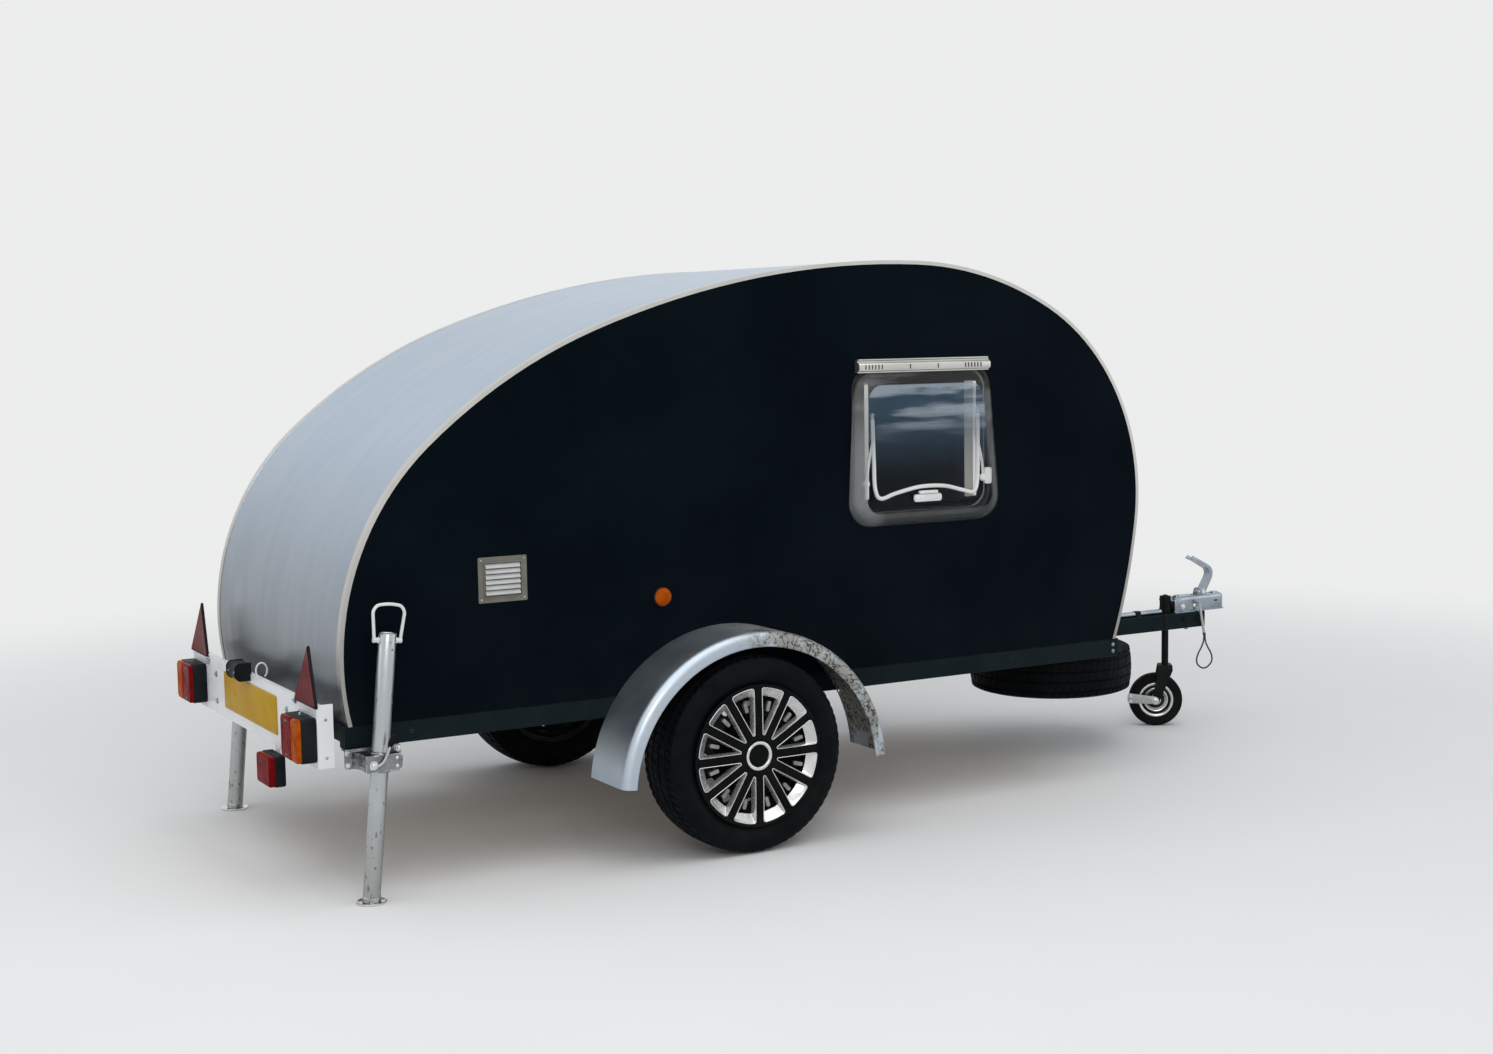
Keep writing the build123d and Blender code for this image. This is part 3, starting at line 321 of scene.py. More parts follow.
def makeSpangleGroup():
    # Zinc spangle: each Voronoi cell has its own brightness, blurred at the borders by noise
    tree, ins, outs = shaderGroup("zincSpangle", [("Scale", "Float", 90.0)], ["Value"])
    cells = addNode(tree, "ShaderNodeTexVoronoi", feature="SMOOTH_F1")
    cells.inputs["Smoothness"].default_value = 0.35
    feed(tree, cells.inputs["Vector"], addNode(tree, "ShaderNodeTexCoord").outputs["Object"])
    feed(tree, cells.inputs["Scale"], ins["Scale"])
    grey = addNode(tree, "ShaderNodeSeparateColor")
    feed(tree, grey.inputs[0], cells.outputs["Color"])
    noise = stretchedNoise(tree, 260.0, (1, 1, 1), 3)
    feed(tree, outs["Value"], sums(tree, "ADD", times(tree, grey.outputs[0], 0.65), times(tree, noise, 0.35)))
    return tree


groups = {
    "drift": makeDriftGroup(), "grain": makeGrainGroup(), "wear": makeWearGroup(),
    "dust": makeDustGroup(), "scratches": makeScratchGroup(), "spangle": makeSpangleGroup(),
}


def useGroup(tree, name, **values):
    node = addNode(tree, "ShaderNodeGroup", node_tree=groups[name])
    for label, value in values.items():
        feed(tree, node.inputs[label], value)
    return node.outputs


# Finishes: tone changes slowly to toneTwo by drift (scale, stretch); rough is a range, roughGrain its own drift;
# grain (scale, stretch, depth in metres); dust (amount, height it reaches, tone); wear (radius, amount,
# tone); scratches (scale, amount, tone); spangle (scale, share); lowDarkening (height where it is fullest,
# height of none, amount, tone), darker towards the bottom and on the roof a painted reflection of dark ground;
# flecks (scale, stretch, height where they begin, where they are full, tone); mottle
# (scale, x where it begins, x where it is full, film tone, line tone)
dustTone = (0.23, 0.2, 0.155)
even = (1, 1, 1)   # no stretch
finishes = {
    "panelPaint": dict(ior=1.22, tone=(0.0018, 0.0042, 0.0068), toneTwo=(0.0034, 0.0066, 0.0098),
        drift=(2.2, even), rough=(0.36, 0.5), specular=0.06, grain=(1300, even, 0.00002),
        dust=(0.015, 0.95, dustTone), wear=(0.0015, 0.25, (0.09, 0.1, 0.11))),
    # aluminium grey with a blue tint that is a painted reflection of the sky
    "millSheet": dict(tone=(0.42, 0.515, 0.625), toneTwo=(0.47, 0.56, 0.665), drift=(1.1, even), metallic=1.0,
        rough=(0.31, 0.38), roughGrain=(3.0, (1, 6, 1)), grain=(60, (1, 26, 1), 0.000014),
        dust=(0.07, 1.0, (0.25, 0.25, 0.24)), scratches=(14, 0.1, (0.42, 0.43, 0.44)),
        # painted reflection of dark ground: the sheet turns darker towards the bottom
        lowDarkening=(0.5, 1.32, 0.78, (0.125, 0.127, 0.12))),
    "liningPly": dict(tone=(0.42, 0.31, 0.19), toneTwo=(0.5, 0.38, 0.24), drift=(7, (1, 9, 1)),
        rough=(0.5, 0.65), grain=(90, (1, 14, 1), 0.0001)),
    "trimAlloy": dict(tone=(0.56, 0.555, 0.53), toneTwo=(0.61, 0.605, 0.58), drift=(9, even), metallic=0.92,
        rough=(0.3, 0.34), grain=(500, even, 0.000003), dust=(0.02, 0.9, dustTone),
        # the tone turns darker towards the bottom
        lowDarkening=(0.5, 1.1, 0.6, (0.17, 0.17, 0.155))),
    "chassisPaint": dict(ior=1.22, tone=(0.0045, 0.0105, 0.013), toneTwo=(0.0075, 0.0145, 0.0175),
        drift=(5, even), rough=(0.3, 0.45), specular=0.18, grain=(600, even, 0.00005),
        dust=(0.03, 0.75, dustTone), wear=(0.002, 0.55, (0.16, 0.165, 0.17))),
    "galvanised": dict(tone=(0.46, 0.48, 0.49), toneTwo=(0.6, 0.62, 0.625), drift=(11, even), metallic=0.85,
        rough=(0.38, 0.58), spangle=(70, 0.22), grain=(350, even, 0.00008), dust=(0.45, 0.7, dustTone),
        scratches=(22, 0.3, (0.2, 0.185, 0.165))),
    # aluminium grey with a blue tint that is a painted reflection of the sky
    "guardSheet": dict(tone=(0.46, 0.53, 0.6), toneTwo=(0.52, 0.59, 0.655), drift=(3, even), metallic=0.97,
        rough=(0.36, 0.42), spangle=(50, 0.05), grain=(120, even, 0.00003), dust=(0.04, 0.45, dustTone),
        scratches=(26, 0.1, (0.24, 0.23, 0.22)),
        mottle=(34.0, -0.72, -0.52, (0.3, 0.285, 0.25), (0.085, 0.075, 0.06))),
    "darkPaint": dict(ior=1.22, tone=(0.0045, 0.0055, 0.0065), toneTwo=(0.0085, 0.0095, 0.0105),
        drift=(12, even), rough=(0.32, 0.5), specular=0.25, grain=(500, even, 0.00006),
        dust=(0.06, 0.55, dustTone), wear=(0.0015, 0.5, (0.13, 0.13, 0.13))),
    "boardWhite": dict(tone=(0.74, 0.755, 0.77), toneTwo=(0.8, 0.81, 0.82), drift=(4, even),
        rough=(0.25, 0.38), grain=(700, even, 0.00002), dust=(0.1, 0.6, dustTone),
        wear=(0.001, 0.35, (0.4, 0.38, 0.35))),
    "whitePaint": dict(tone=(0.7, 0.71, 0.7), toneTwo=(0.77, 0.775, 0.765), drift=(6, even),
        rough=(0.25, 0.4), grain=(700, even, 0.00003), dust=(0.25, 0.8, dustTone),
        wear=(0.0012, 0.6, (0.3, 0.28, 0.25)), scratches=(20, 0.2, (0.4, 0.38, 0.35))),
    "whitePlastic": dict(tone=(0.8, 0.8, 0.78), toneTwo=(0.86, 0.86, 0.84), drift=(14, even),
        rough=(0.32, 0.42), grain=(900, even, 0.00003), dust=(0.1, 0.9, dustTone)),
    "blackPlastic": dict(ior=1.22, tone=(0.0065, 0.009, 0.011), toneTwo=(0.012, 0.015, 0.0175),
        drift=(15, even), rough=(0.38, 0.55), specular=0.25, grain=(1500, even, 0.00006),
        dust=(0.05, 0.8, dustTone)),
    "tyreRubber": dict(ior=1.22, tone=(0.0028, 0.004, 0.005), toneTwo=(0.0055, 0.0072, 0.0086),
        drift=(10, even), rough=(0.46, 0.66), specular=0.16, grain=(600, even, 0.00009),
        dust=(0.1, 0.5, (0.05, 0.05, 0.048)), wear=(0.003, 0.3, (0.022, 0.023, 0.024))),
    "solidRubber": dict(ior=1.22, tone=(0.005, 0.0055, 0.006), toneTwo=(0.009, 0.0095, 0.01),
        drift=(16, even), rough=(0.5, 0.7), specular=0.18, grain=(700, even, 0.0001),
        dust=(0.1, 0.2, (0.07, 0.065, 0.055)), wear=(0.002, 0.4, (0.03, 0.03, 0.03))),
    "sealRubber": dict(tone=(0.012, 0.012, 0.012), toneTwo=(0.02, 0.02, 0.02), drift=(20, even),
        rough=(0.5, 0.7), specular=0.3, grain=(900, even, 0.00005), dust=(0.15, 0.8, dustTone)),
    "rimSilver": dict(tone=(0.48, 0.49, 0.5), toneTwo=(0.56, 0.57, 0.58), drift=(13, even), metallic=0.6,
        rough=(0.3, 0.45), grain=(700, even, 0.00003), dust=(0.4, 0.6, (0.1, 0.09, 0.08))),
    "trimSilver": dict(tone=(0.66, 0.66, 0.655), toneTwo=(0.74, 0.74, 0.735), drift=(25, even), metallic=0.75,
        rough=(0.18, 0.28), grain=(900, even, 0.000005), dust=(0.05, 0.6, (0.12, 0.11, 0.1))),
    "trimBlack": dict(ior=1.22, tone=(0.003, 0.0036, 0.0042), toneTwo=(0.0055, 0.0062, 0.007),
        drift=(16, even), rough=(0.22, 0.34), specular=0.16, grain=(900, even, 0.00002),
        dust=(0.03, 0.6, dustTone)),
    "castIron": dict(tone=(0.11, 0.105, 0.1), toneTwo=(0.17, 0.15, 0.135), drift=(18, even), metallic=0.7,
        rough=(0.45, 0.65), grain=(260, even, 0.0002), dust=(0.5, 0.6, (0.1, 0.075, 0.055))),
    "zincPlate": dict(tone=(0.25, 0.295, 0.34), toneTwo=(0.36, 0.41, 0.455), drift=(16, even), metallic=0.97,
        rough=(0.2, 0.3), spangle=(220, 0.04), grain=(500, even, 0.00001), dust=(0.03, 0.7, dustTone),
        wear=(0.0011, 0.7, (0.8, 0.82, 0.84))),
    "polishedSteel": dict(tone=(0.66, 0.67, 0.68), toneTwo=(0.74, 0.745, 0.75), drift=(30, even),
        metallic=1.0, rough=(0.12, 0.24), grain=(900, even, 0.00002), dust=(0.15, 0.8, dustTone)),
    "ventPlastic": dict(tone=(0.125, 0.122, 0.098), toneTwo=(0.165, 0.16, 0.13), drift=(22, even),
        rough=(0.45, 0.62), grain=(800, even, 0.00006), dust=(0.35, 0.95, dustTone)),
    "plateYellow": dict(ior=1.22, tone=(0.46, 0.265, 0.01), toneTwo=(0.52, 0.305, 0.014), drift=(8, even),
        specular=0.25, rough=(0.3, 0.42), grain=(420, even, 0.00004), dust=(0.05, 0.8, dustTone)),
    "reflectorRed": dict(ior=1.16, tone=(0.115, 0.004, 0.006), toneTwo=(0.15, 0.005, 0.007), drift=(60, even),
        specular=0.1, rough=(0.24, 0.3), grain=(320, even, 0.00002), dust=(0.004, 0.9, dustTone)),
    "lampRed": dict(ior=1.16, tone=(0.135, 0.004, 0.005), toneTwo=(0.2, 0.006, 0.006), drift=(40, even),
        specular=0.1, rough=(0.1, 0.2), grain=(500, even, 0.00003), dust=(0.004, 0.9, dustTone)),
    "lampAmber": dict(ior=1.16, tone=(0.32, 0.055, 0.003), toneTwo=(0.46, 0.088, 0.005), drift=(40, even),
        specular=0.1, rough=(0.1, 0.2), grain=(500, even, 0.00003), dust=(0.004, 0.9, dustTone)),
    "louvrePlastic": dict(tone=(0.5, 0.505, 0.5), toneTwo=(0.57, 0.575, 0.57), drift=(30, even),
        rough=(0.38, 0.52), grain=(900, even, 0.00004), dust=(0.2, 0.95, dustTone)),
    "standZinc": dict(tone=(0.43, 0.46, 0.47), toneTwo=(0.5, 0.53, 0.54), drift=(9, (1, 1, 0.5)),
        metallic=0.8, rough=(0.24, 0.38), spangle=(120, 0.05), grain=(300, even, 0.00002),
        dust=(0.06, 0.4, (0.1, 0.09, 0.08)), scratches=(34, 0.2, (0.12, 0.11, 0.1)),
        flecks=(95, (1, 1, 0.45), 0.36, 0.16, (0.13, 0.108, 0.092)),
        # the tone turns darker towards the bottom
        lowDarkening=(0.02, 0.4, 0.5, (0.235, 0.235, 0.21)), wear=(0.002, 0.6, (0.75, 0.77, 0.78))),
    "pressedPlate": dict(tone=(0.17, 0.18, 0.185), toneTwo=(0.27, 0.28, 0.285), drift=(26, even),
        metallic=0.95, rough=(0.2, 0.3), grain=(400, even, 0.00001), dust=(0.04, 0.6, dustTone),
        wear=(0.0012, 1.0, (0.88, 0.89, 0.9))),
    "blindCloth": dict(tone=(0.3, 0.3, 0.265), toneTwo=(0.36, 0.36, 0.32), drift=(12, (1, 1, 0.2)),
        rough=(0.6, 0.8), specular=0.2, grain=(1400, even, 0.0001)),
    "rimGrey": dict(tone=(0.22, 0.225, 0.23), toneTwo=(0.34, 0.345, 0.35), drift=(40, even), metallic=0.7,
        rough=(0.28, 0.45), grain=(600, even, 0.00004), dust=(0.2, 0.6, (0.05, 0.045, 0.04))),
    "barSilver": dict(tone=(0.42, 0.43, 0.43), toneTwo=(0.5, 0.51, 0.51), drift=(22, even), metallic=0.5,
        rough=(0.34, 0.5), grain=(500, even, 0.00006), dust=(0.25, 0.3, dustTone)),
    "rimDark": dict(ior=1.22, tone=(0.012, 0.013, 0.014), toneTwo=(0.024, 0.025, 0.026), drift=(14, even),
        metallic=0.3, specular=0.2, rough=(0.4, 0.55), grain=(600, even, 0.00004),
        dust=(0.06, 0.6, (0.08, 0.07, 0.06))),
    "mattressCloth": dict(tone=(0.09, 0.105, 0.135), toneTwo=(0.115, 0.13, 0.165), drift=(7, even),
        rough=(0.85, 0.95), specular=0.15, sheen=0.3, grain=(1200, even, 0.0004)),
    "sleevePlastic": dict(tone=(0.4, 0.43, 0.45), toneTwo=(0.48, 0.51, 0.53), drift=(30, even),
        rough=(0.3, 0.45), grain=(900, even, 0.00003), dust=(0.2, 0.8, dustTone)),
    "cableBlack": dict(tone=(0.012, 0.012, 0.013), toneTwo=(0.02, 0.02, 0.02), drift=(40, even),
        rough=(0.4, 0.55), specular=0.4, grain=(1200, even, 0.00005), dust=(0.2, 0.8, dustTone)),
    "coverCloth": dict(tone=(0.24, 0.245, 0.24), toneTwo=(0.33, 0.335, 0.325), drift=(9, even),
        rough=(0.85, 0.95), specular=0.15, sheen=0.3, grain=(1400, even, 0.0003)),
}


def makeFinish(name, look):
    # Tone, then scratches, dust and worn edges over it; roughness and relief from the same grain
    material, tree, shader = newMaterial(name)
    driftScale, driftStretch = look["drift"]
    drift = useGroup(tree, "drift", Scale=driftScale, Stretch=driftStretch)["Value"]
    tone = blendTones(tree, drift, look["tone"], look["toneTwo"])
    grainScale, grainStretch, grainDepth = look["grain"]
    grain = useGroup(tree, "grain", Scale=grainScale, Stretch=grainStretch, Depth=grainDepth)
    low, high = look["rough"]
    roughScale, roughStretch = look.get("roughGrain", (driftScale * 2.3, driftStretch))
    roughness = spread(tree, useGroup(tree, "drift", Scale=roughScale, Stretch=roughStretch)["Value"], 0, 1,
        low, high)
    metallic = look.get("metallic", 0.0)
    shader.inputs["Metallic"].default_value = metallic
    if "spangle" in look:
        spangleScale, share = look["spangle"]
        cells = useGroup(tree, "spangle", Scale=spangleScale)["Value"]
        tone = blendTones(tree, share, tone, blendTones(tree, cells, (0.3,) * 3, (1.0,) * 3), "MULTIPLY")
        roughness = sums(tree, "ADD", roughness, times(tree, cells, share * 0.3))
    if "scratches" in look:
        scratchScale, amount, markTone = look["scratches"]
        marks = useGroup(tree, "scratches", Scale=scratchScale, Amount=amount)["Mask"]
        tone = blendTones(tree, marks, tone, markTone)
        roughness = sums(tree, "ADD", roughness, times(tree, marks, 0.15))
    if "flecks" in look:
        # Bare patches: peaks of a stretched noise, many below the full height and few above the start height
        fleckScale, fleckStretch, begin, full, fleckTone = look["flecks"]
        lower = spread(tree, objectAxes(tree)["Z"], begin, full, 0.0, 0.095)
        peaks = useGroup(tree, "grain", Scale=fleckScale, Stretch=fleckStretch, Depth=1.0)["Value"]
        peaks = spread(tree, sums(tree, "ADD", peaks, lower), 0.7, 0.735)
        tone = blendTones(tree, peaks, tone, fleckTone)
        roughness = sums(tree, "ADD", roughness, times(tree, peaks, 0.25))
    if "mottle" in look:
        # Weathered lacquer towards +x: a dull film with winding dark lines where a noise crosses its middle
        mottleScale, begin, full, overlayTone, lines = look["mottle"]
        front = spread(tree, objectAxes(tree)["X"], begin, full)
        patches = spread(tree, useGroup(tree, "drift", Scale=9.0, Stretch=(1, 1, 1))["Value"], 0.0, 0.35)
        front = times(tree, front, patches)
        winding = useGroup(tree, "grain", Scale=mottleScale, Stretch=(1, 1, 1), Depth=1.0)["Value"]
        away = sums(tree, "ABSOLUTE", sums(tree, "SUBTRACT", winding, 0.5), 0.0)
        tone = blendTones(tree, times(tree, front, 0.75), tone, overlayTone)
        tone = blendTones(tree, times(tree, front, spread(tree, away, 0.035, 0.012)), tone, lines)
        roughness = sums(tree, "ADD", roughness, times(tree, front, 0.25))
    if "dust" in look:
        amount, reach, settled = look["dust"]
        veil = useGroup(tree, "dust", Amount=amount, Reach=reach)["Mask"]
        tone = blendTones(tree, veil, tone, settled)
        roughness = sums(tree, "ADD", roughness, times(tree, veil, 0.35), clamp=True)
        if metallic > 0:
            feed(tree, shader.inputs["Metallic"], times(tree, sums(tree, "SUBTRACT", 1.0, veil), metallic))
    if "lowDarkening" in look:
        # Darker towards the bottom, from one height down to another; on the roof a painted reflection of dark
        # ground
        full, none, amount, overlayTone = look["lowDarkening"]
        share = spread(tree, objectAxes(tree)["Z"], full, none, amount, 0.0)
        tone = blendTones(tree, share, tone, overlayTone)
    if "wear" in look:
        radius, amount, bare = look["wear"]
        rubbed = useGroup(tree, "wear", Radius=radius, Amount=amount)["Mask"]
        tone = blendTones(tree, rubbed, tone, bare)
    feed(tree, shader.inputs["Base Color"], tone)
    feed(tree, shader.inputs["Roughness"], roughness)
    shader.inputs["Specular IOR Level"].default_value = look.get("specular", 0.5)
    shader.inputs["IOR"].default_value = look.get("ior", 1.5)
    shader.inputs["Sheen Weight"].default_value = look.get("sheen", 0.0)
    addRelief(tree, shader, grain["Height"])
    return material


def makeClear(name, tone, rough, ior=1.49):
    # Clear or coloured plastic: light passes, with a faint wave and dust in its roughness
    material, tree, shader = newMaterial(name)
    shader.inputs["Transmission Weight"].default_value = 1.0
    shader.inputs["IOR"].default_value = ior
    smear = useGroup(tree, "drift", Scale=11.0, Stretch=(1, 1, 1))["Value"]
    feed(tree, shader.inputs["Roughness"], spread(tree, smear, 0, 1, rough, rough * 2.5 + 0.02))
    feed(tree, shader.inputs["Base Color"], blendTones(tree, smear, tone, tuple(t * 0.9 for t in tone)))
    wave = useGroup(tree, "grain", Scale=9.0, Stretch=(1, 1, 1), Depth=0.0012)
    addRelief(tree, shader, wave["Height"])
    return material


def makeThinSheet(name, look):
    # Thin clear sheet with painted reflections: mostly see-through, a veil masked along x and z, and soft
    # streaks drawn out along x that turn to the white tone
    material, tree, shader = newMaterial(name)
    axes = objectAxes(tree)
    waves = useGroup(tree, "drift", Scale=look["scale"], Stretch=(0.5, 1, 5))["Value"]
    veil = look["veil"]
    for axis, full, none, least in look["masks"]:
        veil = times(tree, veil, spread(tree, axes[axis], full, none, 1.0, least))
    low, high, reflectionStreak = look["reflectionStreak"]
    reflectionStreaks = times(tree, spread(tree, waves, 0.3, 0.95, 0.0, reflectionStreak), spread(tree, axes["Z"], low, high))
    feed(tree, shader.inputs["Alpha"], sums(tree, "ADD", reflectionStreaks, veil, clamp=True))
    feed(tree, shader.inputs["Base Color"], blendTones(tree, spread(tree, reflectionStreaks, 0.0, reflectionStreak * 0.8),
        look["tone"], look["white"]))
    shader.inputs["Roughness"].default_value = 0.1
    wave = useGroup(tree, "grain", Scale=9.0, Stretch=(1, 1, 1), Depth=0.0008)
    addRelief(tree, shader, wave["Height"])
    return material


materials = {name: makeFinish(name, look) for name, look in finishes.items()}
materials["acrylic"] = makeClear("acrylic", (0.92, 0.94, 0.955), 0.01)
# Inner sheet: smoked tint, made darker still as painted shade of the dim cabin behind the window
materials["smokedShadeSheet"] = makeClear("smokedShadeSheet", (0.03, 0.05, 0.075), 0.03, 1.22)
# Pane face: painted sky reflection, a blue veil fading towards the bottom and pale streaks high up
materials["paneFace"] = makeThinSheet("paneFace", {
    "tone": (0.055, 0.115, 0.185), "white": (0.4, 0.48, 0.56), "scale": 3.2, "reflectionStreak": (1.1, 1.3, 0.19),
    "veil": 0.3, "masks": [("Z", 1.34, 1.04, 0.05)]})
# Pane side walls: painted reflection, a grey veil fullest at the rear end and thinner towards the top and the
# bottom
materials["paneSide"] = makeThinSheet("paneSide", {
    "tone": (0.34, 0.355, 0.35), "white": (0.46, 0.48, 0.48), "scale": 4.0, "reflectionStreak": (0.95, 1.4, 0.07),
    "veil": 0.42, "masks": [("X", -0.115, -0.04, 0.32), ("Z", 1.1, 1.34, 0.3), ("Z", 1.0, 0.93, 0.55)]})
print("finishes made")


def paintNode(name, *finishNames):
    node = nodes[name]
    node.data.materials.clear()
    for finishName in finishNames:
        node.data.materials.append(materials[finishName])


cadFinish = {
    "panelPaint": ["side_panel_right", "side_panel_left", "door"],
    "millSheet": ["roof_shell"],
    "liningPly": ["floor_panel"],
    "trimAlloy": ["edge_trims"],
    "chassisPaint": ["chassis_rails", "cross_members", "drawbar"],
    "galvanised": ["axle_beam", "swing_arm_right", "swing_arm_left", "stand_clamp_right",
        "stand_clamp_left", "stand_leg_right", "stand_leg_left", "jockey_stem", "spare_carrier",
        "mudguard_right", "mudguard_left"],
    "boardWhite": ["light_board"],
    "whitePaint": ["stand_handle_right", "stand_handle_left"],
    "blackPlastic": ["lamp_housings", "door_lock"],
    "lampRed": ["lamp_lenses"],
    "plateYellow": ["number_plate"],
    "reflectorRed": ["reflectors"],
    "whitePlastic": ["window_frame"],
    "acrylic": ["window_pane", "door_window"],
    "polishedSteel": ["door_leaves", "hinge_leaves"],
    "mattressCloth": ["mattress"],
    "ventPlastic": ["side_vents"],
    "zincPlate": ["coupling_head", "coupling_lever"],
    "darkPaint": ["jockey_clamp", "jockey_fork"],
    "tyreRubber": ["jockey_tyre", "spare_tyre", "tyre_right", "tyre_left"],
    "rimSilver": ["jockey_rim", "spare_rim"],
    "rimDark": ["rim_right", "rim_left"],
    "castIron": ["hub_right", "hub_left"],
    "trimBlack": ["wheel_trim_right", "wheel_trim_left"],
    "sleevePlastic": ["cable_sleeve"],
    "cableBlack": ["safety_cable"],
}
for finishName, nodeNames in cadFinish.items():
    for nodeName in nodeNames:
        paintNode(nodeName, finishName)


# Surfaces: points as arrays, faces as index arrays, one finish number per shape
def gridFaces(rows, columns, wrapRows=False, wrapColumns=False):
    i = np.arange(rows if wrapRows else rows - 1)[:, None]
    j = np.arange(columns if wrapColumns else columns - 1)[None, :]
    below, beside = (i + 1) % rows, (j + 1) % columns
    corners = (i * columns + j, i * columns + beside, below * columns + beside, below * columns + j)
    return np.stack(corners, -1).reshape(-1, 4)


def skin(rings, finish=0, wrap=False):
    # Surface through closed rings of points; both ends are filled unless the rings wrap
    rings = np.asarray(rings, float)
    rows, columns = rings.shape[:2]
    faces = [gridFaces(rows, columns, wrap, True)]
    if not wrap:
        faces += [np.arange(columns)[None, ::-1], (rows - 1) * columns + np.arange(columns)[None, :]]
    return [rings.reshape(-1, 3), faces, finish]


def placed(points, origin=(0, 0, 0), xAxis=(1, 0, 0), yAxis=(0, 1, 0), zAxis=(0, 0, 1)):
    # Local coordinates times the three axes, plus the origin
    points = np.asarray(points, float)
    return points @ np.array([xAxis, yAxis, zAxis], float)[:points.shape[-1]] + np.array(origin, float)


def unit(vectors):
    vectors = np.asarray(vectors, float)
    return vectors / np.linalg.norm(vectors, axis=-1, keepdims=True)


def wallFrame(origin, side, along=1):
    # Upright frame on a wall: local x along it, local y up, height outwards to the left (1) or right (-1)
    return {"origin": origin, "xAxis": (along, 0, 0), "yAxis": (0, 0, 1), "zAxis": (0, side, 0)}


def crossFrame(origin, ahead=1):
    # Upright frame across the trailer: local x to the left, local y up, height forwards (1) or backwards (-1)
    return {"origin": origin, "xAxis": (0, 1, 0), "yAxis": (0, 0, 1), "zAxis": (ahead, 0, 0)}


def spotOn(place, *point):
    return placed(np.array([point]), **place)[0]


def levelled(outlines):
    # Flat outlines, each lifted to its own height
    return np.array([np.column_stack([line, np.full(len(line), height)]) for line, height in outlines])


def arc(centre, radius, start, end, count):
    angle = np.radians(np.linspace(start, end, count))
    return np.stack([centre[0] + radius * np.cos(angle), centre[1] + radius * np.sin(angle)], -1)


def roundRect(width, height, radius, perCorner=8, centre=(0, 0)):
    # Four quarter arcs in turn, anticlockwise from the lower right corner
    x, y = width / 2 - radius, height / 2 - radius
    corners = [((x, -y), -90), ((x, y), 0), ((-x, y), 90), ((-x, -y), 180)]
    line = np.concatenate([arc(c, radius, a, a + 90, perCorner) for c, a in corners])
    return line + np.array(centre)


def inset(outline, amount):
    # Closed outline moved inwards along its mean normals; anticlockwise outlines shrink
    ahead = unit(np.roll(outline, -1, 0) - outline)
    behind = np.roll(ahead, 1, 0)
    normal = np.stack([-(ahead + behind)[:, 1], (ahead + behind)[:, 0]], -1)
    normal = unit(normal)
    lean = np.clip(np.sum(normal * np.stack([-ahead[:, 1], ahead[:, 0]], -1), -1), 0.4, 1)
    return outline + normal * (amount / lean)[:, None]


def drawnIn(outline, levels):
    # The outline drawn in by each first number, at the height of the second
    return levelled([(inset(outline, amount) if amount else outline, height) for amount, height in levels])


def plate(outline, low, high, edge=0.0006, finish=0, steps=3, **place):
    # Flat plate between two heights: the outline drawn in along a quarter round at both faces
    turn = np.radians(np.linspace(0, 90, steps))
    levels = [(edge * (1 - sin(a)), low + edge * (1 - cos(a))) for a in turn]
    levels += [(edge * (1 - cos(a)), high - edge * (1 - sin(a))) for a in turn]
    return skin(placed(drawnIn(outline, levels), **place), finish)


def block(width, depth, height, centre, radius=0.002, edge=0.001, finish=0):
    # Upright rounded box about its centre
    line = roundRect(width, depth, radius, 4)
    return plate(line, -height / 2, height / 2, edge, finish, origin=centre)


def swept(path, section, side, finish=0, wrap=False, scale=None):
    # Closed section carried along a path; its first axis follows the side vector made square to the path
    path, section = np.asarray(path, float), np.asarray(section, float)
    if wrap:
        ahead = unit(np.roll(path, -1, 0) - np.roll(path, 1, 0))
    else:
        ahead = unit(np.gradient(path, axis=0))
    side = np.broadcast_to(np.asarray(side, float), path.shape)
    first = unit(side - np.sum(side * ahead, -1, keepdims=True) * ahead)
    second = np.cross(ahead, first)
    size = np.ones(len(path)) if scale is None else np.asarray(scale, float)
    offsets = section[None, :, :1] * first[:, None] + section[None, :, 1:] * second[:, None]
    rings = path[:, None] + size[:, None, None] * offsets
    return skin(rings, finish, wrap)


def disc(radius, count=16):
    angle = np.arange(count) * 2 * pi / count
    return np.stack([radius * np.cos(angle), radius * np.sin(angle)], -1)


def tube(path, radius, side=(0, 1, 0), finish=0, sides=14, wrap=False, scale=None):
    return swept(path, disc(radius, sides), side, finish, wrap, scale)


def squareTo(axis):
    # The axis as a unit vector, and two more square to it
    axis = unit(axis)
    spare = np.array([0, 0, 1.0]) if abs(axis[2]) < 0.9 else np.array([1.0, 0, 0])
    first = unit(np.cross(axis, spare))
    return axis, first, np.cross(axis, first)


def turned(profile, origin, axis, finish=0, steps=48, wrap=False):
    # Profile of (along the axis, radius) turned about the axis; a closed profile wraps
    axis, first, second = squareTo(axis)
    profile = np.asarray(profile, float)
    angle = np.arange(steps) * 2 * pi / steps
    around = first * np.cos(angle)[:, None] + second * np.sin(angle)[:, None]
    rings = (np.asarray(origin, float) + profile[:, None, :1] * axis + profile[:, None, 1:] * around[None])
    return skin(rings, finish, wrap)


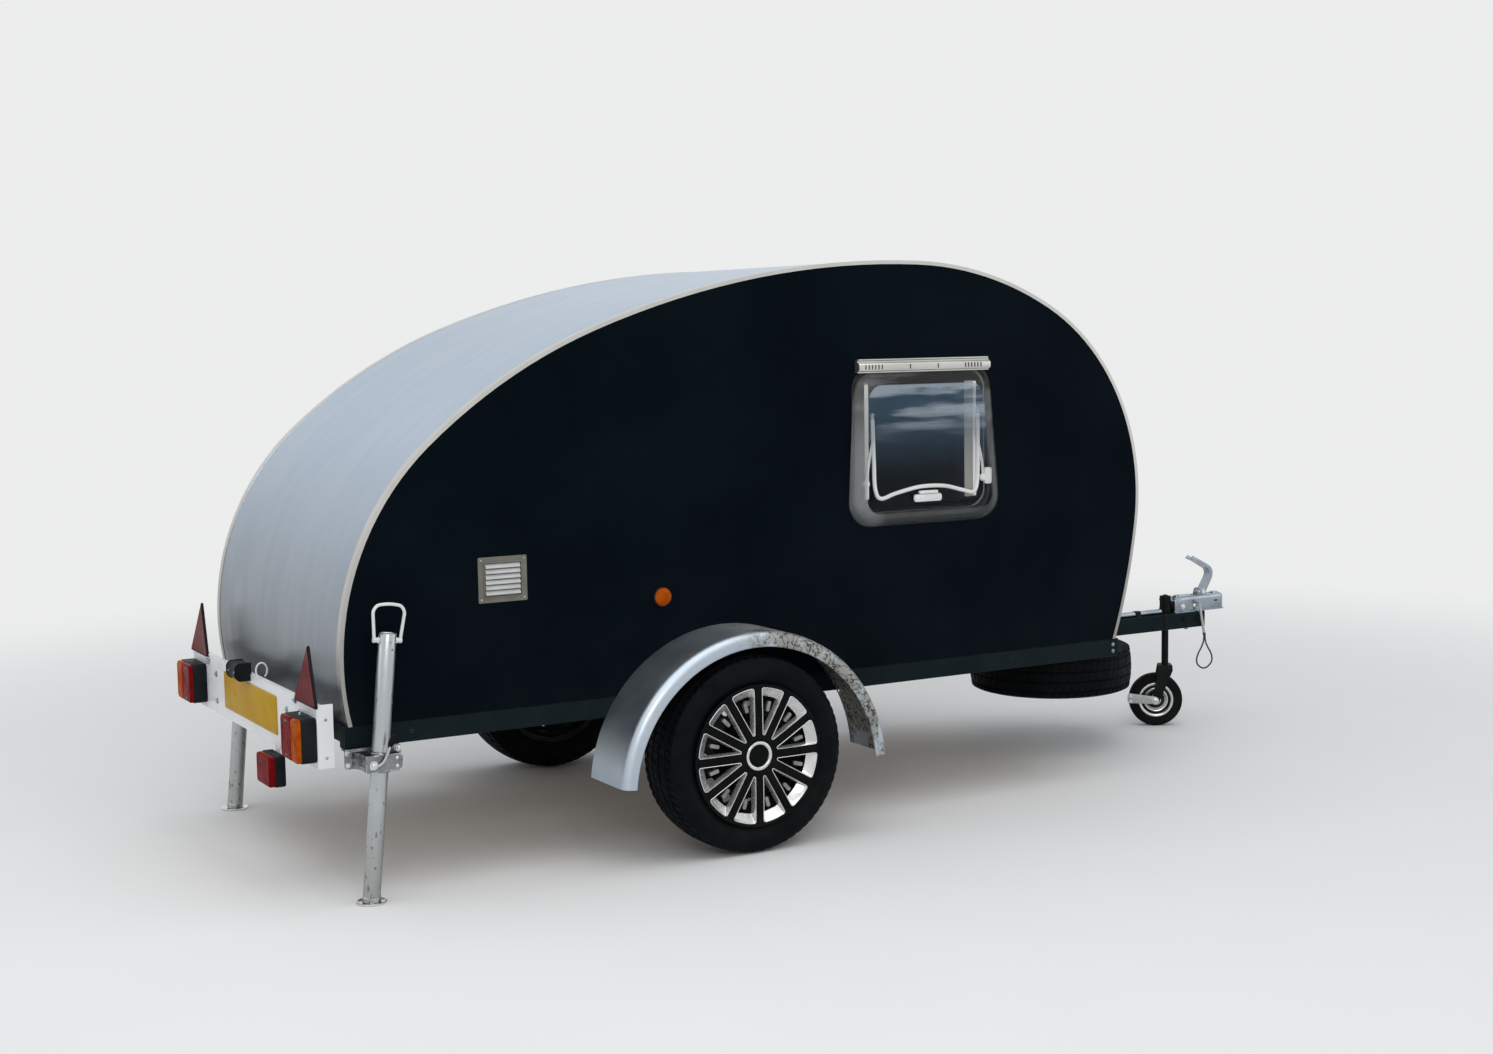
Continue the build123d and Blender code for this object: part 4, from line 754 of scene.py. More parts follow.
def smoothLine(points, count=60, wrap=False):
    # Catmull-Rom curve: each span is a cubic with slopes from its neighbours
    points = np.asarray(points, float)
    last = len(points)
    t = np.linspace(0, last if wrap else last - 1, count, endpoint=not wrap)
    i = np.minimum(t.astype(int), last - 1 if wrap else last - 2)
    u = (t - i)[:, None]
    if wrap:
        a, b, c, d = (points[(i + k) % last] for k in (-1, 0, 1, 2))
    else:
        padded = np.concatenate([2 * points[:1] - points[1:2], points, 2 * points[-1:] - points[-2:-1]])
        a, b, c, d = (padded[i + k] for k in range(4))
    return 0.5 * (2 * b + (c - a) * u + (2 * a - 5 * b + 4 * c - d) * u**2 + (3 * b - a - 3 * c + d) * u**3)


def bentLine(points, radius, perBend=6):
    # Straight runs joined by arcs: each corner becomes a quadratic bend that starts and ends a radius away
    points = np.asarray(points, float)
    pieces = [points[:1]]
    for before, corner, after in zip(points, points[1:], points[2:]):
        reach = min(radius, 0.48 * np.linalg.norm(corner - before), 0.48 * np.linalg.norm(after - corner))
        begin = corner + unit(before - corner) * reach
        end = corner + unit(after - corner) * reach
        u = np.linspace(0, 1, perBend)[:, None]
        pieces.append(begin * (1 - u) ** 2 + 2 * corner * u * (1 - u) + end * u**2)
    pieces.append(points[-1:])
    return np.concatenate(pieces)


def hexBolt(place, axis, across=0.013, height=0.006, washer=0.011, finish=0):
    # Washer, six-sided head with a chamfered top
    axis = unit(axis)
    ring = turned([(0, 0.001), (0, washer), (0.0016, washer), (0.0016, 0.001)], place, axis, finish, 14)
    head = turned([(0.0016, across / sqrt(3)), (height, across / sqrt(3)), (height + 0.001, across / 2.2)],
        place, axis, finish, 6)
    return [ring, head]


def domeScrew(place, axis, radius=0.005, height=0.0022, finish=0):
    # Low dome: half an ellipse turned about the axis
    turn = np.radians(np.linspace(0, 80, 5))
    profile = [(height * sin(a), radius * cos(a)) for a in turn]
    return turned([(-0.0006, radius), *profile], place, axis, finish, 12)


def makePiece(name, shapes, finishNames, body, replaced=(), sharp=38, weld=False, modifiers=()):
    # Joins the shapes, turns each one's faces outwards by its signed volume, and makes one object of them
    points, corners, totals, marks = [], [], [], []
    base = 0
    for shapePoints, faceSets, finish in shapes:
        volume = 0.0
        for faces in faceSets:
            fan = shapePoints[faces]
            volume += sum(np.sum(fan[:, 0] * np.cross(fan[:, k], fan[:, k + 1]))
                for k in range(1, faces.shape[1] - 1))
        for faces in faceSets:
            facing = faces if volume > 0 else faces[:, ::-1]
            corners.append((facing + base).ravel())
            totals.append(np.full(len(faces), faces.shape[1]))
            marks.append(np.full(len(faces), finish))
        points.append(shapePoints)
        base += len(shapePoints)
    points, corners = np.concatenate(points), np.concatenate(corners)
    totals, marks = np.concatenate(totals), np.concatenate(marks)
    mesh = bpy.data.meshes.new(name)
    mesh.vertices.add(len(points))
    mesh.vertices.foreach_set("co", points.astype(np.float32).ravel())
    mesh.loops.add(len(corners))
    mesh.loops.foreach_set("vertex_index", corners.astype(np.int32))
    mesh.polygons.add(len(totals))
    mesh.polygons.foreach_set("loop_start", np.concatenate([[0], np.cumsum(totals)[:-1]]).astype(np.int32))
    for finishName in finishNames:
        mesh.materials.append(materials[finishName])
    mesh.polygons.foreach_set("material_index", marks.astype(np.int32))
    mesh.update(calc_edges=True)
    if weld:
        work = bmesh.new()
        work.from_mesh(mesh)
        bmesh.ops.remove_doubles(work, verts=work.verts, dist=1e-6)
        work.to_mesh(mesh)
        work.free()
    mesh.validate()
    mesh.polygons.foreach_set("use_smooth", np.ones(len(mesh.polygons), bool))
    mesh.set_sharp_from_angle(angle=radians(sharp))
    piece = bpy.data.objects.new(name, mesh)
    bpy.context.scene.collection.objects.link(piece)
    for kind, settings in modifiers:
        modifier = piece.modifiers.new(kind.title(), kind)
        for key, value in settings.items():
            setattr(modifier, key, value)
    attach(piece, body)
    if replaced:
        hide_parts(*replaced)
    return piece


# Body: roof sheet over the side profile
bodyLine = {
    "startX": -1.777, "heading": 105.6, "dip": 0.041, "railTop": 0.474, "halfWidth": 0.587, "wall": 0.02,
    "arcs": [(0.781, 64.0), (1.662, 20.7), (2.898, 22.7), (1.149, 26.8), (0.718, 69.2), (2.028, 12.9)],
}


def bodyProfile(depth, count):
    # Evenly spaced points and outward normals of the chained arcs above the rail, moved inwards by a depth
    heading = bodyLine["heading"]
    x = bodyLine["startX"] + bodyLine["dip"] * tan(radians(heading - 91.5))
    z = bodyLine["railTop"] - bodyLine["dip"]
    rows = []
    for radius, turn in bodyLine["arcs"]:
        centre = (x + radius * sin(radians(heading)), z - radius * cos(radians(heading)))
        rows.append([*centre, radius - depth, radians(heading + 90), radians(heading + 90 - turn)])
        heading -= turn
        x = centre[0] + radius * cos(radians(heading + 90))
        z = centre[1] + radius * sin(radians(heading + 90))
    rows[0][3] = pi - asin((bodyLine["railTop"] - rows[0][1]) / rows[0][2])
    rows[-1][4] = asin((bodyLine["railTop"] - rows[-1][1]) / rows[-1][2])
    rows = np.array(rows)
    lengths = rows[:, 2] * (rows[:, 3] - rows[:, 4])
    starts = np.concatenate([[0], np.cumsum(lengths)[:-1]])
    along = np.linspace(0, lengths.sum(), count)
    i = np.clip(np.searchsorted(starts, along, side="right") - 1, 0, len(rows) - 1)
    angle = rows[i, 3] - (along - starts[i]) / rows[i, 2]
    normal = np.stack([np.cos(angle), np.sin(angle)], -1)
    return rows[i, :2] + rows[i, 2:3] * normal, normal


def makeRoof():
    # Outer sheet and inner lining as one closed shell: rings across the width, carried along the profile
    count, reach = 320, bodyLine["halfWidth"] - bodyLine["wall"] - 0.0004
    outer, _ = bodyProfile(0.0, count)
    inner, _ = bodyProfile(bodyLine["wall"], count)
    strips = 12
    across = np.linspace(-reach, reach, strips + 1)
    rings = np.concatenate([np.stack(np.broadcast_arrays(line[:, None, 0], row, line[:, None, 1]), -1)
        for line, row in ((outer, across), (inner, across[::-1]))], 1)
    points, (sheet, footEnd, frontEnd), _ = skin(rings)
    column = sheet[:, 0] % rings.shape[1]
    order = np.concatenate([sheet[column < strips], sheet[column >= strips]])
    piece = makePiece("roof_sheet", [[points, [order, footEnd, frontEnd], 0]], ["millSheet", "liningPly"],
        "chassis", ["roof_shell"])
    marks = np.zeros(len(order) + 2, np.int32)
    marks[np.sum(column < strips):len(order)] = 1
    piece.data.polygons.foreach_set("material_index", marks)


makeRoof()
print("roof made")

# Road tyres and the spare
tyreShape = {
    "radius": 0.292, "width": 0.185, "bead": 0.19, "seatHalf": 0.071, "lip": 0.011,
    "pitches": 66, "perPitch": 6, "wallPoints": 17, "grooveDepth": 0.0065, "sipeDepth": 0.0048,
    "ribs": [-0.052, -0.0175, 0.0175, 0.052], "grooveHalf": 0.0042,   # middle of each groove round the tread
}


def tyreProfile(shape):
    # Closed section from the inner bead round the outside: sidewall arc, shoulder, then the tread with two
    # points at each groove edge
    half, bead, radius = shape["width"] / 2, shape["bead"], shape["radius"]
    depth = radius - bead
    shoulder = (half * 0.86, radius - depth * 0.07)
    start, bulge = np.array([shape["seatHalf"], bead + shape["lip"]]), np.array([half, bead + depth * 0.52])
    u = np.linspace(0, 1, shape["wallPoints"])[:, None]
    control = 2 * bulge - (start + np.array(shoulder)) / 2
    wall = start * (1 - u) ** 2 + 2 * control * u * (1 - u) + np.array(shoulder) * u**2
    # Grooved rings on the sidewall: two near the rim and one near the shoulder
    for place, height in ((0.16, 0.0014), (0.3, 0.0009), (0.74, 0.001)):
        wall[:, 0] -= height * np.exp(-((u[:, 0] - place) / 0.035) ** 2)
    crown = (shoulder[0] ** 2 + (radius - shoulder[1]) ** 2) / (2 * (radius - shoulder[1]))
    edge, spots = 0.0006, [shoulder[0] * 0.985, shoulder[0] * 0.9, shoulder[0] * 0.8]
    g = shape["grooveHalf"]
    for middle in reversed(shape["ribs"]):
        spots += [middle + g + edge, middle + g - edge, middle - g + edge, middle - g - edge]
        if middle > shape["ribs"][0]:
            spots.append(middle - 0.0175)
    spots += [-shoulder[0] * 0.8, -shoulder[0] * 0.9, -shoulder[0] * 0.985]
    spots = np.array(spots)
    tread = np.stack([spots, radius - crown + np.sqrt(crown**2 - spots**2)], -1)
    away = np.min(np.abs(spots[:, None] - np.array(shape["ribs"])), -1)
    grooved = np.where(away < g, shape["grooveDepth"], 0.0)
    mirror = wall[::-1] * np.array([-1, 1])
    seat = np.array([[-shape["seatHalf"], bead], [0, bead], [shape["seatHalf"], bead]])
    profile = np.concatenate([wall, tread, mirror, seat])
    before, after = shape["wallPoints"], shape["wallPoints"] + len(seat)
    onTread = np.pad(np.ones(len(spots)), (before, after)) > 0
    return profile, onTread, np.pad(grooved, (before, after))


def makeTyre(name, centre, axis, body, replaced, shape=tyreShape):
    # Section turned about the axle; blocks are cut by letting the radius drop at every pitch, slanted across
    # the tread
    profile, onTread, drops = tyreProfile(shape)
    steps = shape["pitches"] * shape["perPitch"]
    axis, first, second = squareTo(axis)
    along, radial = profile[:, 0], profile[:, 1]
    slant = np.where(onTread, np.sign(along) * (np.abs(along) - 0.01).clip(0, 0.08) * 1.1,
        np.sign(along) * 0.077)
    angle = np.arange(steps)[:, None] * 2 * pi / steps + slant[None, :]
    phase = np.arange(steps) % shape["perPitch"]
    share = np.array([0, 0, 0, 0, 1, 1])[phase][:, None]
    outside = np.abs(along) > 0.0565
    # Shoulder blocks are cut deep, the middle ribs only by short sipes
    cut = share * (onTread * outside * shape["sipeDepth"] + onTread * ~outside * (drops == 0) * 0.0022
        * (phase == 5)[:, None])
    notch = share * (~onTread & (radial > shape["radius"] - 0.028) & (radial > 0.25)) * 0.0016
    far = radial[None, :] - np.maximum(cut, np.broadcast_to(drops, cut.shape)) - notch
    rings = (np.asarray(centre, float) + along[None, :, None] * axis + far[..., None]
        * (first * np.cos(angle)[..., None] + second * np.sin(angle)[..., None]))
    rings = np.transpose(rings, (1, 0, 2))
    faces = gridFaces(len(profile), steps, True, True)
    makePiece(name, [[rings.reshape(-1, 3), [faces], 0]], ["tyreRubber"], body, replaced, sharp=32)


axlePlace = (-0.616, 0.6975, 0.292)
for hand, side in hands.items():
    place = (axlePlace[0], side * axlePlace[1], axlePlace[2])
    makeTyre(f"road_tyre_{hand}", place, (0, side, 0), f"wheel_{hand}", [f"tyre_{hand}"])
spareLow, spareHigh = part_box("spare_tyre")
makeTyre("carried_tyre", tuple((spareLow + spareHigh) / 2), (0, 0, 1), "chassis", ["spare_tyre"],
    dict(tyreShape, width=0.165))
print("tyres made")

# Wheel trims: black spokes, silver window frames, centre ring
trimShape = {
    "windows": 12, "spokeHalf": 0.0122, "tip": 0.005, "outer": 0.2005, "corner": 0.008,
    "hub": 0.04, "rim": 0.2085, "face": 0.0945, "lift": 0.0012, "crown": 0.0025, "crownAt": 0.21,
}


def windowLine(depth, outerDepth, shape=trimShape):
    # Wedge outline about the +x axis, drawn in by a depth: tip arc, straight side, outer arc between two
    # round corners, straight side
    turn = radians(180 / shape["windows"])
    half = shape["spokeHalf"] + depth
    tip = max(shape["tip"] - depth, 0.0012)
    corner = max(shape["corner"] - outerDepth, 0.003)
    outer = shape["outer"] - outerDepth
    tipCentre = (half + tip) / sin(turn)
    lean = turn - asin((half + corner) / (outer - corner))
    cornerCentre = np.array([cos(lean), sin(lean)]) * (outer - corner)
    flank = 105.0
    tipArc = arc((tipCentre, 0), tip, flank, 360 - flank, 13)
    lower = arc((cornerCentre[0], -cornerCentre[1]), corner, -flank, -np.degrees(lean), 7)
    top = arc((0, 0), outer, -np.degrees(lean), np.degrees(lean), 11)[1:-1]
    upper = arc(cornerCentre, corner, np.degrees(lean), flank, 7)
    share = np.linspace(0, 1, 12)[1:-1, None]
    down = tipArc[-1] * (1 - share) + lower[0] * share
    back = upper[-1] * (1 - share) + tipArc[0] * share
    return np.concatenate([tipArc, down, lower, top, upper, back])


def sectorLine(shape=trimShape):
    # The sector's border, point for point with the window outline: hub arc, spoke, rim arc, spoke
    turn = 180 / shape["windows"]
    hub = arc((0, 0), shape["hub"], turn, -turn, 13)
    rim = arc((0, 0), shape["rim"], -turn, turn, 23)
    share = np.linspace(0, 1, 12)[1:-1, None]
    down = hub[-1] * (1 - share) + rim[0] * share
    back = rim[-1] * (1 - share) + hub[0] * share
    return np.concatenate([hub, down, rim, back])


def aroundWheel(points, count):
    # Copies of local (x, y, height) points turned about the height axis: every angle at once
    angle = (np.arange(count) + 0.5) * 2 * pi / count
    x, y, h = points[..., 0], points[..., 1], points[..., 2]
    shape = (count,) + (1,) * x.ndim
    c, s = np.cos(angle).reshape(shape), np.sin(angle).reshape(shape)
    return np.stack([x * c - y * s, x * s + y * c, np.broadcast_to(h, (count, *h.shape))], -1)


def makeWheelTrim(hand, shape=trimShape):
    side = hands[hand]
    frameOf = wallFrame((axlePlace[0], side * axlePlace[1], axlePlace[2]), side, side)
    window, border = windowLine(0, 0), sectorLine()
    share = np.linspace(0, 1, 5)[:, None, None]
    flat = window[None] * (1 - share) + border[None] * share
    radius = np.linalg.norm(flat, axis=-1)
    # Face height: a low crown over the radius, and each spoke a little raised along its middle
    height = (shape["face"] - shape["crown"] * (radius / shape["crownAt"]) ** 4
        + shape["lift"] * share[..., 0] ** 2)
    sheet = aroundWheel(np.concatenate([flat, height[..., None]], -1), shape["windows"])
    faces = gridFaces(5, flat.shape[1], False, True)
    count = flat.shape[0] * flat.shape[1]
    faces = (faces[None] + np.arange(shape["windows"])[:, None, None] * count).reshape(-1, 4)
    face = [placed(sheet.reshape(-1, 3), **frameOf), [faces[:, ::-1] if side < 0 else faces], 0]
    sheetPiece = makePiece(f"trim_face_{hand}", [face], ["trimBlack"], f"wheel_{hand}",
        [f"wheel_trim_{hand}"], weld=True, modifiers=[("SOLIDIFY", {"thickness": 0.003, "offset": -1})])
    facing = np.array([p.normal[1] for p in sheetPiece.data.polygons]).mean() * side
    if facing < 0:
        sheetPiece.data.flip_normals()

    # Frames: the outline drawn in and let down level by level, closed on itself
    levels = [(0, 0, -0.003), (0, 0, 0.0008), (0.0006, 0.0006, 0.0015), (0.0018, 0.002, 0.0015),
        (0.0024, 0.0028, 0.0004), (0.0036, 0.01, -0.007), (0.0052, 0.025, -0.019), (0.0052, 0.027, -0.0205),
        (0.004, 0.025, -0.02), (0.0026, 0.011, -0.008), (0.002, 0.003, -0.003)]
    rings = levelled([(windowLine(a, b), c) for a, b, c in levels])
    radius = np.linalg.norm(rings[..., :2], axis=-1)
    rings[..., 2] += shape["face"] - shape["crown"] * (radius / shape["crownAt"]) ** 4
    frames = [skin(placed(ring, **frameOf), 0, wrap=True) for ring in aroundWheel(rings, shape["windows"])]
    clip = roundRect(0.03, 0.011, 0.003, 3, (0.146, 0.004))
    clipRings = levelled([(clip, h) for h in (0.072, 0.08, 0.0815)])
    frames += [skin(placed(ring, **frameOf), 1) for ring in aroundWheel(clipRings, shape["windows"])]
    makePiece(f"trim_frames_{hand}", frames, ["trimSilver", "rimGrey"], f"wheel_{hand}")

    centre, axis = frameOf["origin"], (0, side, 0)
    lip = turned([(0.0803, 0.1985), (0.088, 0.2098), (0.0925, 0.2096), (0.0935, 0.2075), (0.0925, 0.206),
        (0.09, 0.205), (0.0815, 0.1965)], centre, axis, 0, 120, wrap=True)
    ring = turned([(0.0885, 0.033), (0.094, 0.0332), (0.0958, 0.0345), (0.0967, 0.0368), (0.0969, 0.0395),
        (0.0962, 0.0418), (0.0945, 0.0436), (0.089, 0.044)], centre, axis, 1, 72, wrap=True)
    cap = turned([(0.086, 0.033), (0.09, 0.0329), (0.0908, 0.0318), (0.0906, 0.029), (0.0912, 0.0275),
        (0.0924, 0.015), (0.0926, 0.0003)], centre, axis, 0, 60)
    makePiece(f"trim_centre_{hand}", [lip, ring, cap], ["trimBlack", "trimSilver"], f"wheel_{hand}")


for hand in hands:
    makeWheelTrim(hand)
print("wheel trims made")

# Mudguards: rolled-edge sheet swept over the wheel
guardShape = {
    "x": -0.612, "z": 0.207, "radius": 0.448, "width": 0.208, "bend": 0.025, "skirt": 0.045, "sheet": 0.0018,
    "bead": 0.0034, "start": 5.0, "sweep": 170.0, "inner": 0.587,
}


def makeMudguard(hand, shape=guardShape):
    # Sheet middle line across the guard: flat crown, bend, skirt, then a bead rolled round 285 degrees
    b, t = shape["bend"], shape["sheet"] / 2
    r, w = shape["radius"] - t, shape["width"] - t
    foot = shape["radius"] - shape["skirt"] + shape["bead"] + t
    crown = np.stack([np.linspace(0.0, w - b, 9)[:-1], np.full(8, r)], -1)
    bend = arc((w - b, r - b), b, 90, 0, 11)
    bead = arc((w - shape["bead"], foot), shape["bead"], 0, -285, 16)
    line = np.concatenate([crown, bend, bead])
    ahead = unit(np.gradient(line, axis=0))
    normal = np.stack([-ahead[:, 1], ahead[:, 0]], -1)
    section = np.concatenate([line + normal * t, (line - normal * t)[::-1]])
    angle = np.radians(np.linspace(shape["start"], shape["start"] + shape["sweep"], 150))
    side = hands[hand]
    across, far = section[:, 0], section[:, 1]
    rings = np.stack([
        shape["x"] + far[None] * np.cos(angle)[:, None],
        np.broadcast_to(side * (shape["inner"] + across), (len(angle), len(section))),
        shape["z"] + far[None] * np.sin(angle)[:, None]], -1)
    screws = []
    for turn in (28, 62, 90, 118, 152):
        out = np.array([cos(radians(turn)), 0, sin(radians(turn))])
        middle = np.array([shape["x"], side * (shape["inner"] + 0.016), shape["z"]])
        spot = middle + out * (shape["radius"] - shape["sheet"] - 0.0002)
        screws += hexBolt(spot, -out, 0.01, 0.005, 0.009, 1)
    makePiece(f"guard_sheet_{hand}", [skin(rings), *screws], ["guardSheet", "polishedSteel"], "chassis",
        [f"mudguard_{hand}"], sharp=50)


for hand in hands:
    makeMudguard(hand)
print("mudguards made")

# Side window: rail, inner frame, bulged acrylic pane, stays and the curved bar
windowShape = {
    "x": 0.11, "low": 0.95, "width": 0.49, "height": 0.44, "wall": -0.587,
    "paneLow": 0.912, "paneTop": 1.388, "topHalf": 0.252, "lowHalf": 0.279, "thick": 0.003,
}


def paneOutline(inwards, shape=windowShape):
    # Rounded rectangle, narrower at the top: width eases from the lower to the upper half width
    high = shape["paneTop"] - shape["paneLow"] - 2 * inwards
    line = roundRect(2 * (shape["lowHalf"] - inwards), high, max(0.078 - inwards * 0.8, 0.012), 12)
    lift = (line[:, 1] / high + 0.5).clip(0, 1)
    narrow = 1 - (1 - (shape["topHalf"] - inwards) / (shape["lowHalf"] - inwards)) * lift**2.2
    return np.stack([line[:, 0] * narrow, line[:, 1]], -1)


def makePane(shape=windowShape):
    # Rings drawn in from the rim while they rise; less near the top, for the pane is deepest low down
    levels = [(0.0, 0.004), (0.0015, 0.014), (0.004, 0.025), (0.009, 0.035), (0.017, 0.0425),
        (0.027, 0.0468), (0.04, 0.0488), (0.06, 0.0496), (0.09, 0.0499), (0.13, 0.05), (0.18, 0.05),
        (0.22, 0.05)]
    middle = (shape["paneLow"] + shape["paneTop"]) / 2
    rim = shape["wall"] - 0.0033
    outer, inner = [], []
    for inwards, rise in levels:
        line = paneOutline(inwards)
        share = (middle + line[:, 1] - shape["paneLow"]) / (shape["paneTop"] - shape["paneLow"])
        depth = rise * (1 - 0.56 * share.clip(0, 1) ** 1.3)
        outer.append(np.column_stack([shape["x"] + line[:, 0], rim - depth, middle + line[:, 1]]))
        line = paneOutline(inwards + shape["thick"])
        depth = (depth - shape["thick"]).clip(0.0005)
        inner.append(np.column_stack([shape["x"] + line[:, 0], rim - depth, middle + line[:, 1]]))
    rings = np.array(outer[::-1] + inner)
    piece = makePiece("pane_outer", [skin(rings)], ["paneFace", "paneSide"], "chassis",
        ["window_pane"], sharp=60)
    # The side walls and the rim take paneSide, whose painted reflection is paler than the front's
    columns, count = rings.shape[1], len(levels)
    row = np.arange(2 * count - 1)
    wall = (row >= count - 7) & (row <= count + 5)
    marks = np.concatenate([np.repeat(wall, columns).astype(np.int32), [0, 0]])
    piece.data.polygons.foreach_set("material_index", marks)


def band(outlineOuter, outlineInner, low, high, finish=0, **place):
    # Flat frame: closed section of four corners carried round two outlines
    rings = levelled([(outlineOuter, low), (outlineOuter, high), (outlineInner, high), (outlineInner, low)])
    return skin(placed(rings, **place), finish, wrap=True)


def makeWindowFrame(shape=windowShape):
    # Local x along the wall, local y up, height outwards from the wall
    middle = shape["low"] + shape["height"] / 2
    face = wallFrame((shape["x"], shape["wall"], middle), -1)
    w, h = shape["width"], shape["height"]
    # Frames: growth and corner of the outer and the inner outline, low, high, finish
    frames = [
        (0.034, 0.075, -0.008, 0.055, 0.0, 0.0026, 1),
        (-0.0016, 0.059, -0.008, 0.055, -0.025, 0.0024, 0),
        (0.02, 0.068, 0.004, 0.06, 0.0024, 0.0062, 1),
        (-0.008, 0.055, -0.052, 0.036, -0.02, -0.012, 1),
    ]
    parts = [band(roundRect(w + a, h + a, cornerA), roundRect(w + b, h + b, cornerB), low, high, finish,
        **face) for a, cornerA, b, cornerB, low, high, finish in frames]
    # Bars: width, height, corner, middle, low, high, edge, finish, points in each corner
    bars = [
        # blind case down the front edge and its guide
        (0.048, h - 0.06, 0.008, (w / 2 - 0.07, 0), -0.018, -0.004, 0.002, 0, 4),
        (0.012, h - 0.07, 0.004, (w / 2 - 0.1, 0), -0.018, -0.008, 0.002, 0, 4),
        # pale cassette strips down both sides, just in front of the inner sheet
        (0.014, h - 0.086, 0.005, (-w / 2 + 0.03, 0.004), 0.0098, 0.0122, 0.0006, 0, 4),
        (0.046, h - 0.074, 0.005, (w / 2 - 0.066, 0), 0.0097, 0.0105, 0.0003, 3, 4),
        (0.012, h - 0.078, 0.004, (w / 2 - 0.05, 0), 0.01, 0.0118, 0.0006, 0, 4),
        # latch with its grip, and the side box
        (0.104, 0.024, 0.008, (0.01, -0.178), 0.01, 0.02, 0.003, 0, 5),
        (0.07, 0.01, 0.004, (0.01, -0.16), 0.012, 0.024, 0.002, 0, 4),
        (0.026, 0.052, 0.006, (0.244, -0.12), 0.004, 0.02, 0.003, 0, 4),
    ]
    parts += [plate(roundRect(wide, tall, corner, points, spot), low, high, edge, finish, **face)
        for wide, tall, corner, spot, low, high, edge, finish, points in bars]
    # Inner sheet sits on the seal; its dark smoked tint is partly painted shade of the cabin behind it
    clear = plate(roundRect(w - 0.03, h - 0.03, 0.045), 0.0066, 0.0096, 0.0008, 0, **face)
    makePiece("pane_inner", [clear], ["smokedShadeSheet"], "chassis")
    # Curved bar low on the inner sheet, two stays with knobs, and the latch's screws
    bar = smoothLine([(-0.196, 0.072, 0.016), (-0.192, -0.06, 0.016), (-0.188, -0.14, 0.016),
        (-0.168, -0.172, 0.016), (-0.11, -0.158, 0.017), (-0.02, -0.142, 0.018), (0.07, -0.144, 0.018),
        (0.14, -0.16, 0.017), (0.186, -0.168, 0.016), (0.202, -0.13, 0.016), (0.204, -0.02, 0.016),
        (0.204, 0.078, 0.016)], 90)
    out = face["zAxis"]
    parts.append(tube(placed(bar, **face), 0.0064, out, 0, 12))
    for x, lean in ((-0.196, -1), (0.204, 1)):
        arm = smoothLine([(x, 0.088, 0.013), (x - lean * 0.004, 0.02, 0.014),
            (x + lean * 0.016, -0.07, 0.014), (x + lean * 0.022, -0.12, 0.013)], 30)
        parts.append(swept(placed(arm, **face), roundRect(0.004, 0.011, 0.0018, 3), out, 2))
        parts.append(turned([(0, 0.0055), (0.01, 0.0055), (0.012, 0.004)], spotOn(face, x, 0.088, 0.01), out,
            2, 16))
        parts.append(turned([(0, 0.012), (0.006, 0.012), (0.011, 0.008), (0.012, 0.001)],
            spotOn(face, x + lean * 0.022, -0.125, 0.008), out, 0, 20))
    parts += [domeScrew(spotOn(face, x, -0.178, 0.02), out, 0.0028, 0.0012, 2) for x in (-0.022, 0.042)]
    makePiece("window_inner_frame", parts, ["whitePlastic", "sealRubber", "polishedSteel", "blindCloth"],
        "chassis", ["window_frame"])
    # Hinge rail: extruded section along the top with louvre slots at both ends
    low = middle + h / 2
    section = np.array([(0.0, 0.034), (0.012, 0.034), (0.015, 0.032), (0.015, 0.028), (0.023, 0.025),
        (0.0262, 0.021), (0.0268, 0.008), (0.024, 0.002), (0.016, -0.001), (0.016, -0.004), (0.0, -0.004)])
    ends = np.array([-w / 2 - 0.003, -w / 2, -0.1, 0.1, w / 2, w / 2 + 0.003])
    rings = np.array([np.column_stack([np.full(len(section), x), section[:, 1], section[:, 0]])
        for x in ends])
    rings[[0, -1], :, 1:] = rings[[1, -2], :, 1:] * 0.96 + np.array([0.02, 0.012]) * 0.04
    top = wallFrame((shape["x"], shape["wall"], low), -1)
    cover = roundRect(w + 0.002, 0.004, 0.0018, 3, (0, 0.036))
    rail = [skin(placed(rings, **top)), plate(cover, 0.0, 0.017, 0.0008, 0, **top)]
    for spot in [*np.linspace(-0.225, -0.165, 6), -0.06, 0.045, *np.linspace(0.15, 0.21, 6)]:
        slot = roundRect(0.0034, 0.0145, 0.0012, 3, (spot, 0.0135))
        rail.append(plate(slot, 0.0252, 0.0276, 0.0004, 1, **top))
    makePiece("window_rail", rail, ["trimAlloy", "sealRubber"], "chassis")


makePane()
makeWindowFrame()
print("side window made")

# Rear light board: lamps, plate, reflectors and fixings
boardShape = {
    "x": -1.872, "half": 0.61, "low": 0.374, "high": 0.547,
    "lampY": 0.5335, "lampZ": 0.451, "lampWide": 0.145, "lampHigh": 0.122, "case": 0.043, "lens": 0.013,
    "fogY": -0.258, "fogZ": 0.315, "fogWide": 0.125, "fogHigh": 0.088, "fogCase": 0.03, "fogLens": 0.018,
    "plateZ": 0.463, "plateWide": 0.52, "plateHigh": 0.111,
    "markY": 0.525, "markLow": 0.537, "markSide": 0.188, "markLean": 4.5,
    "hoodY": 0.03,
}


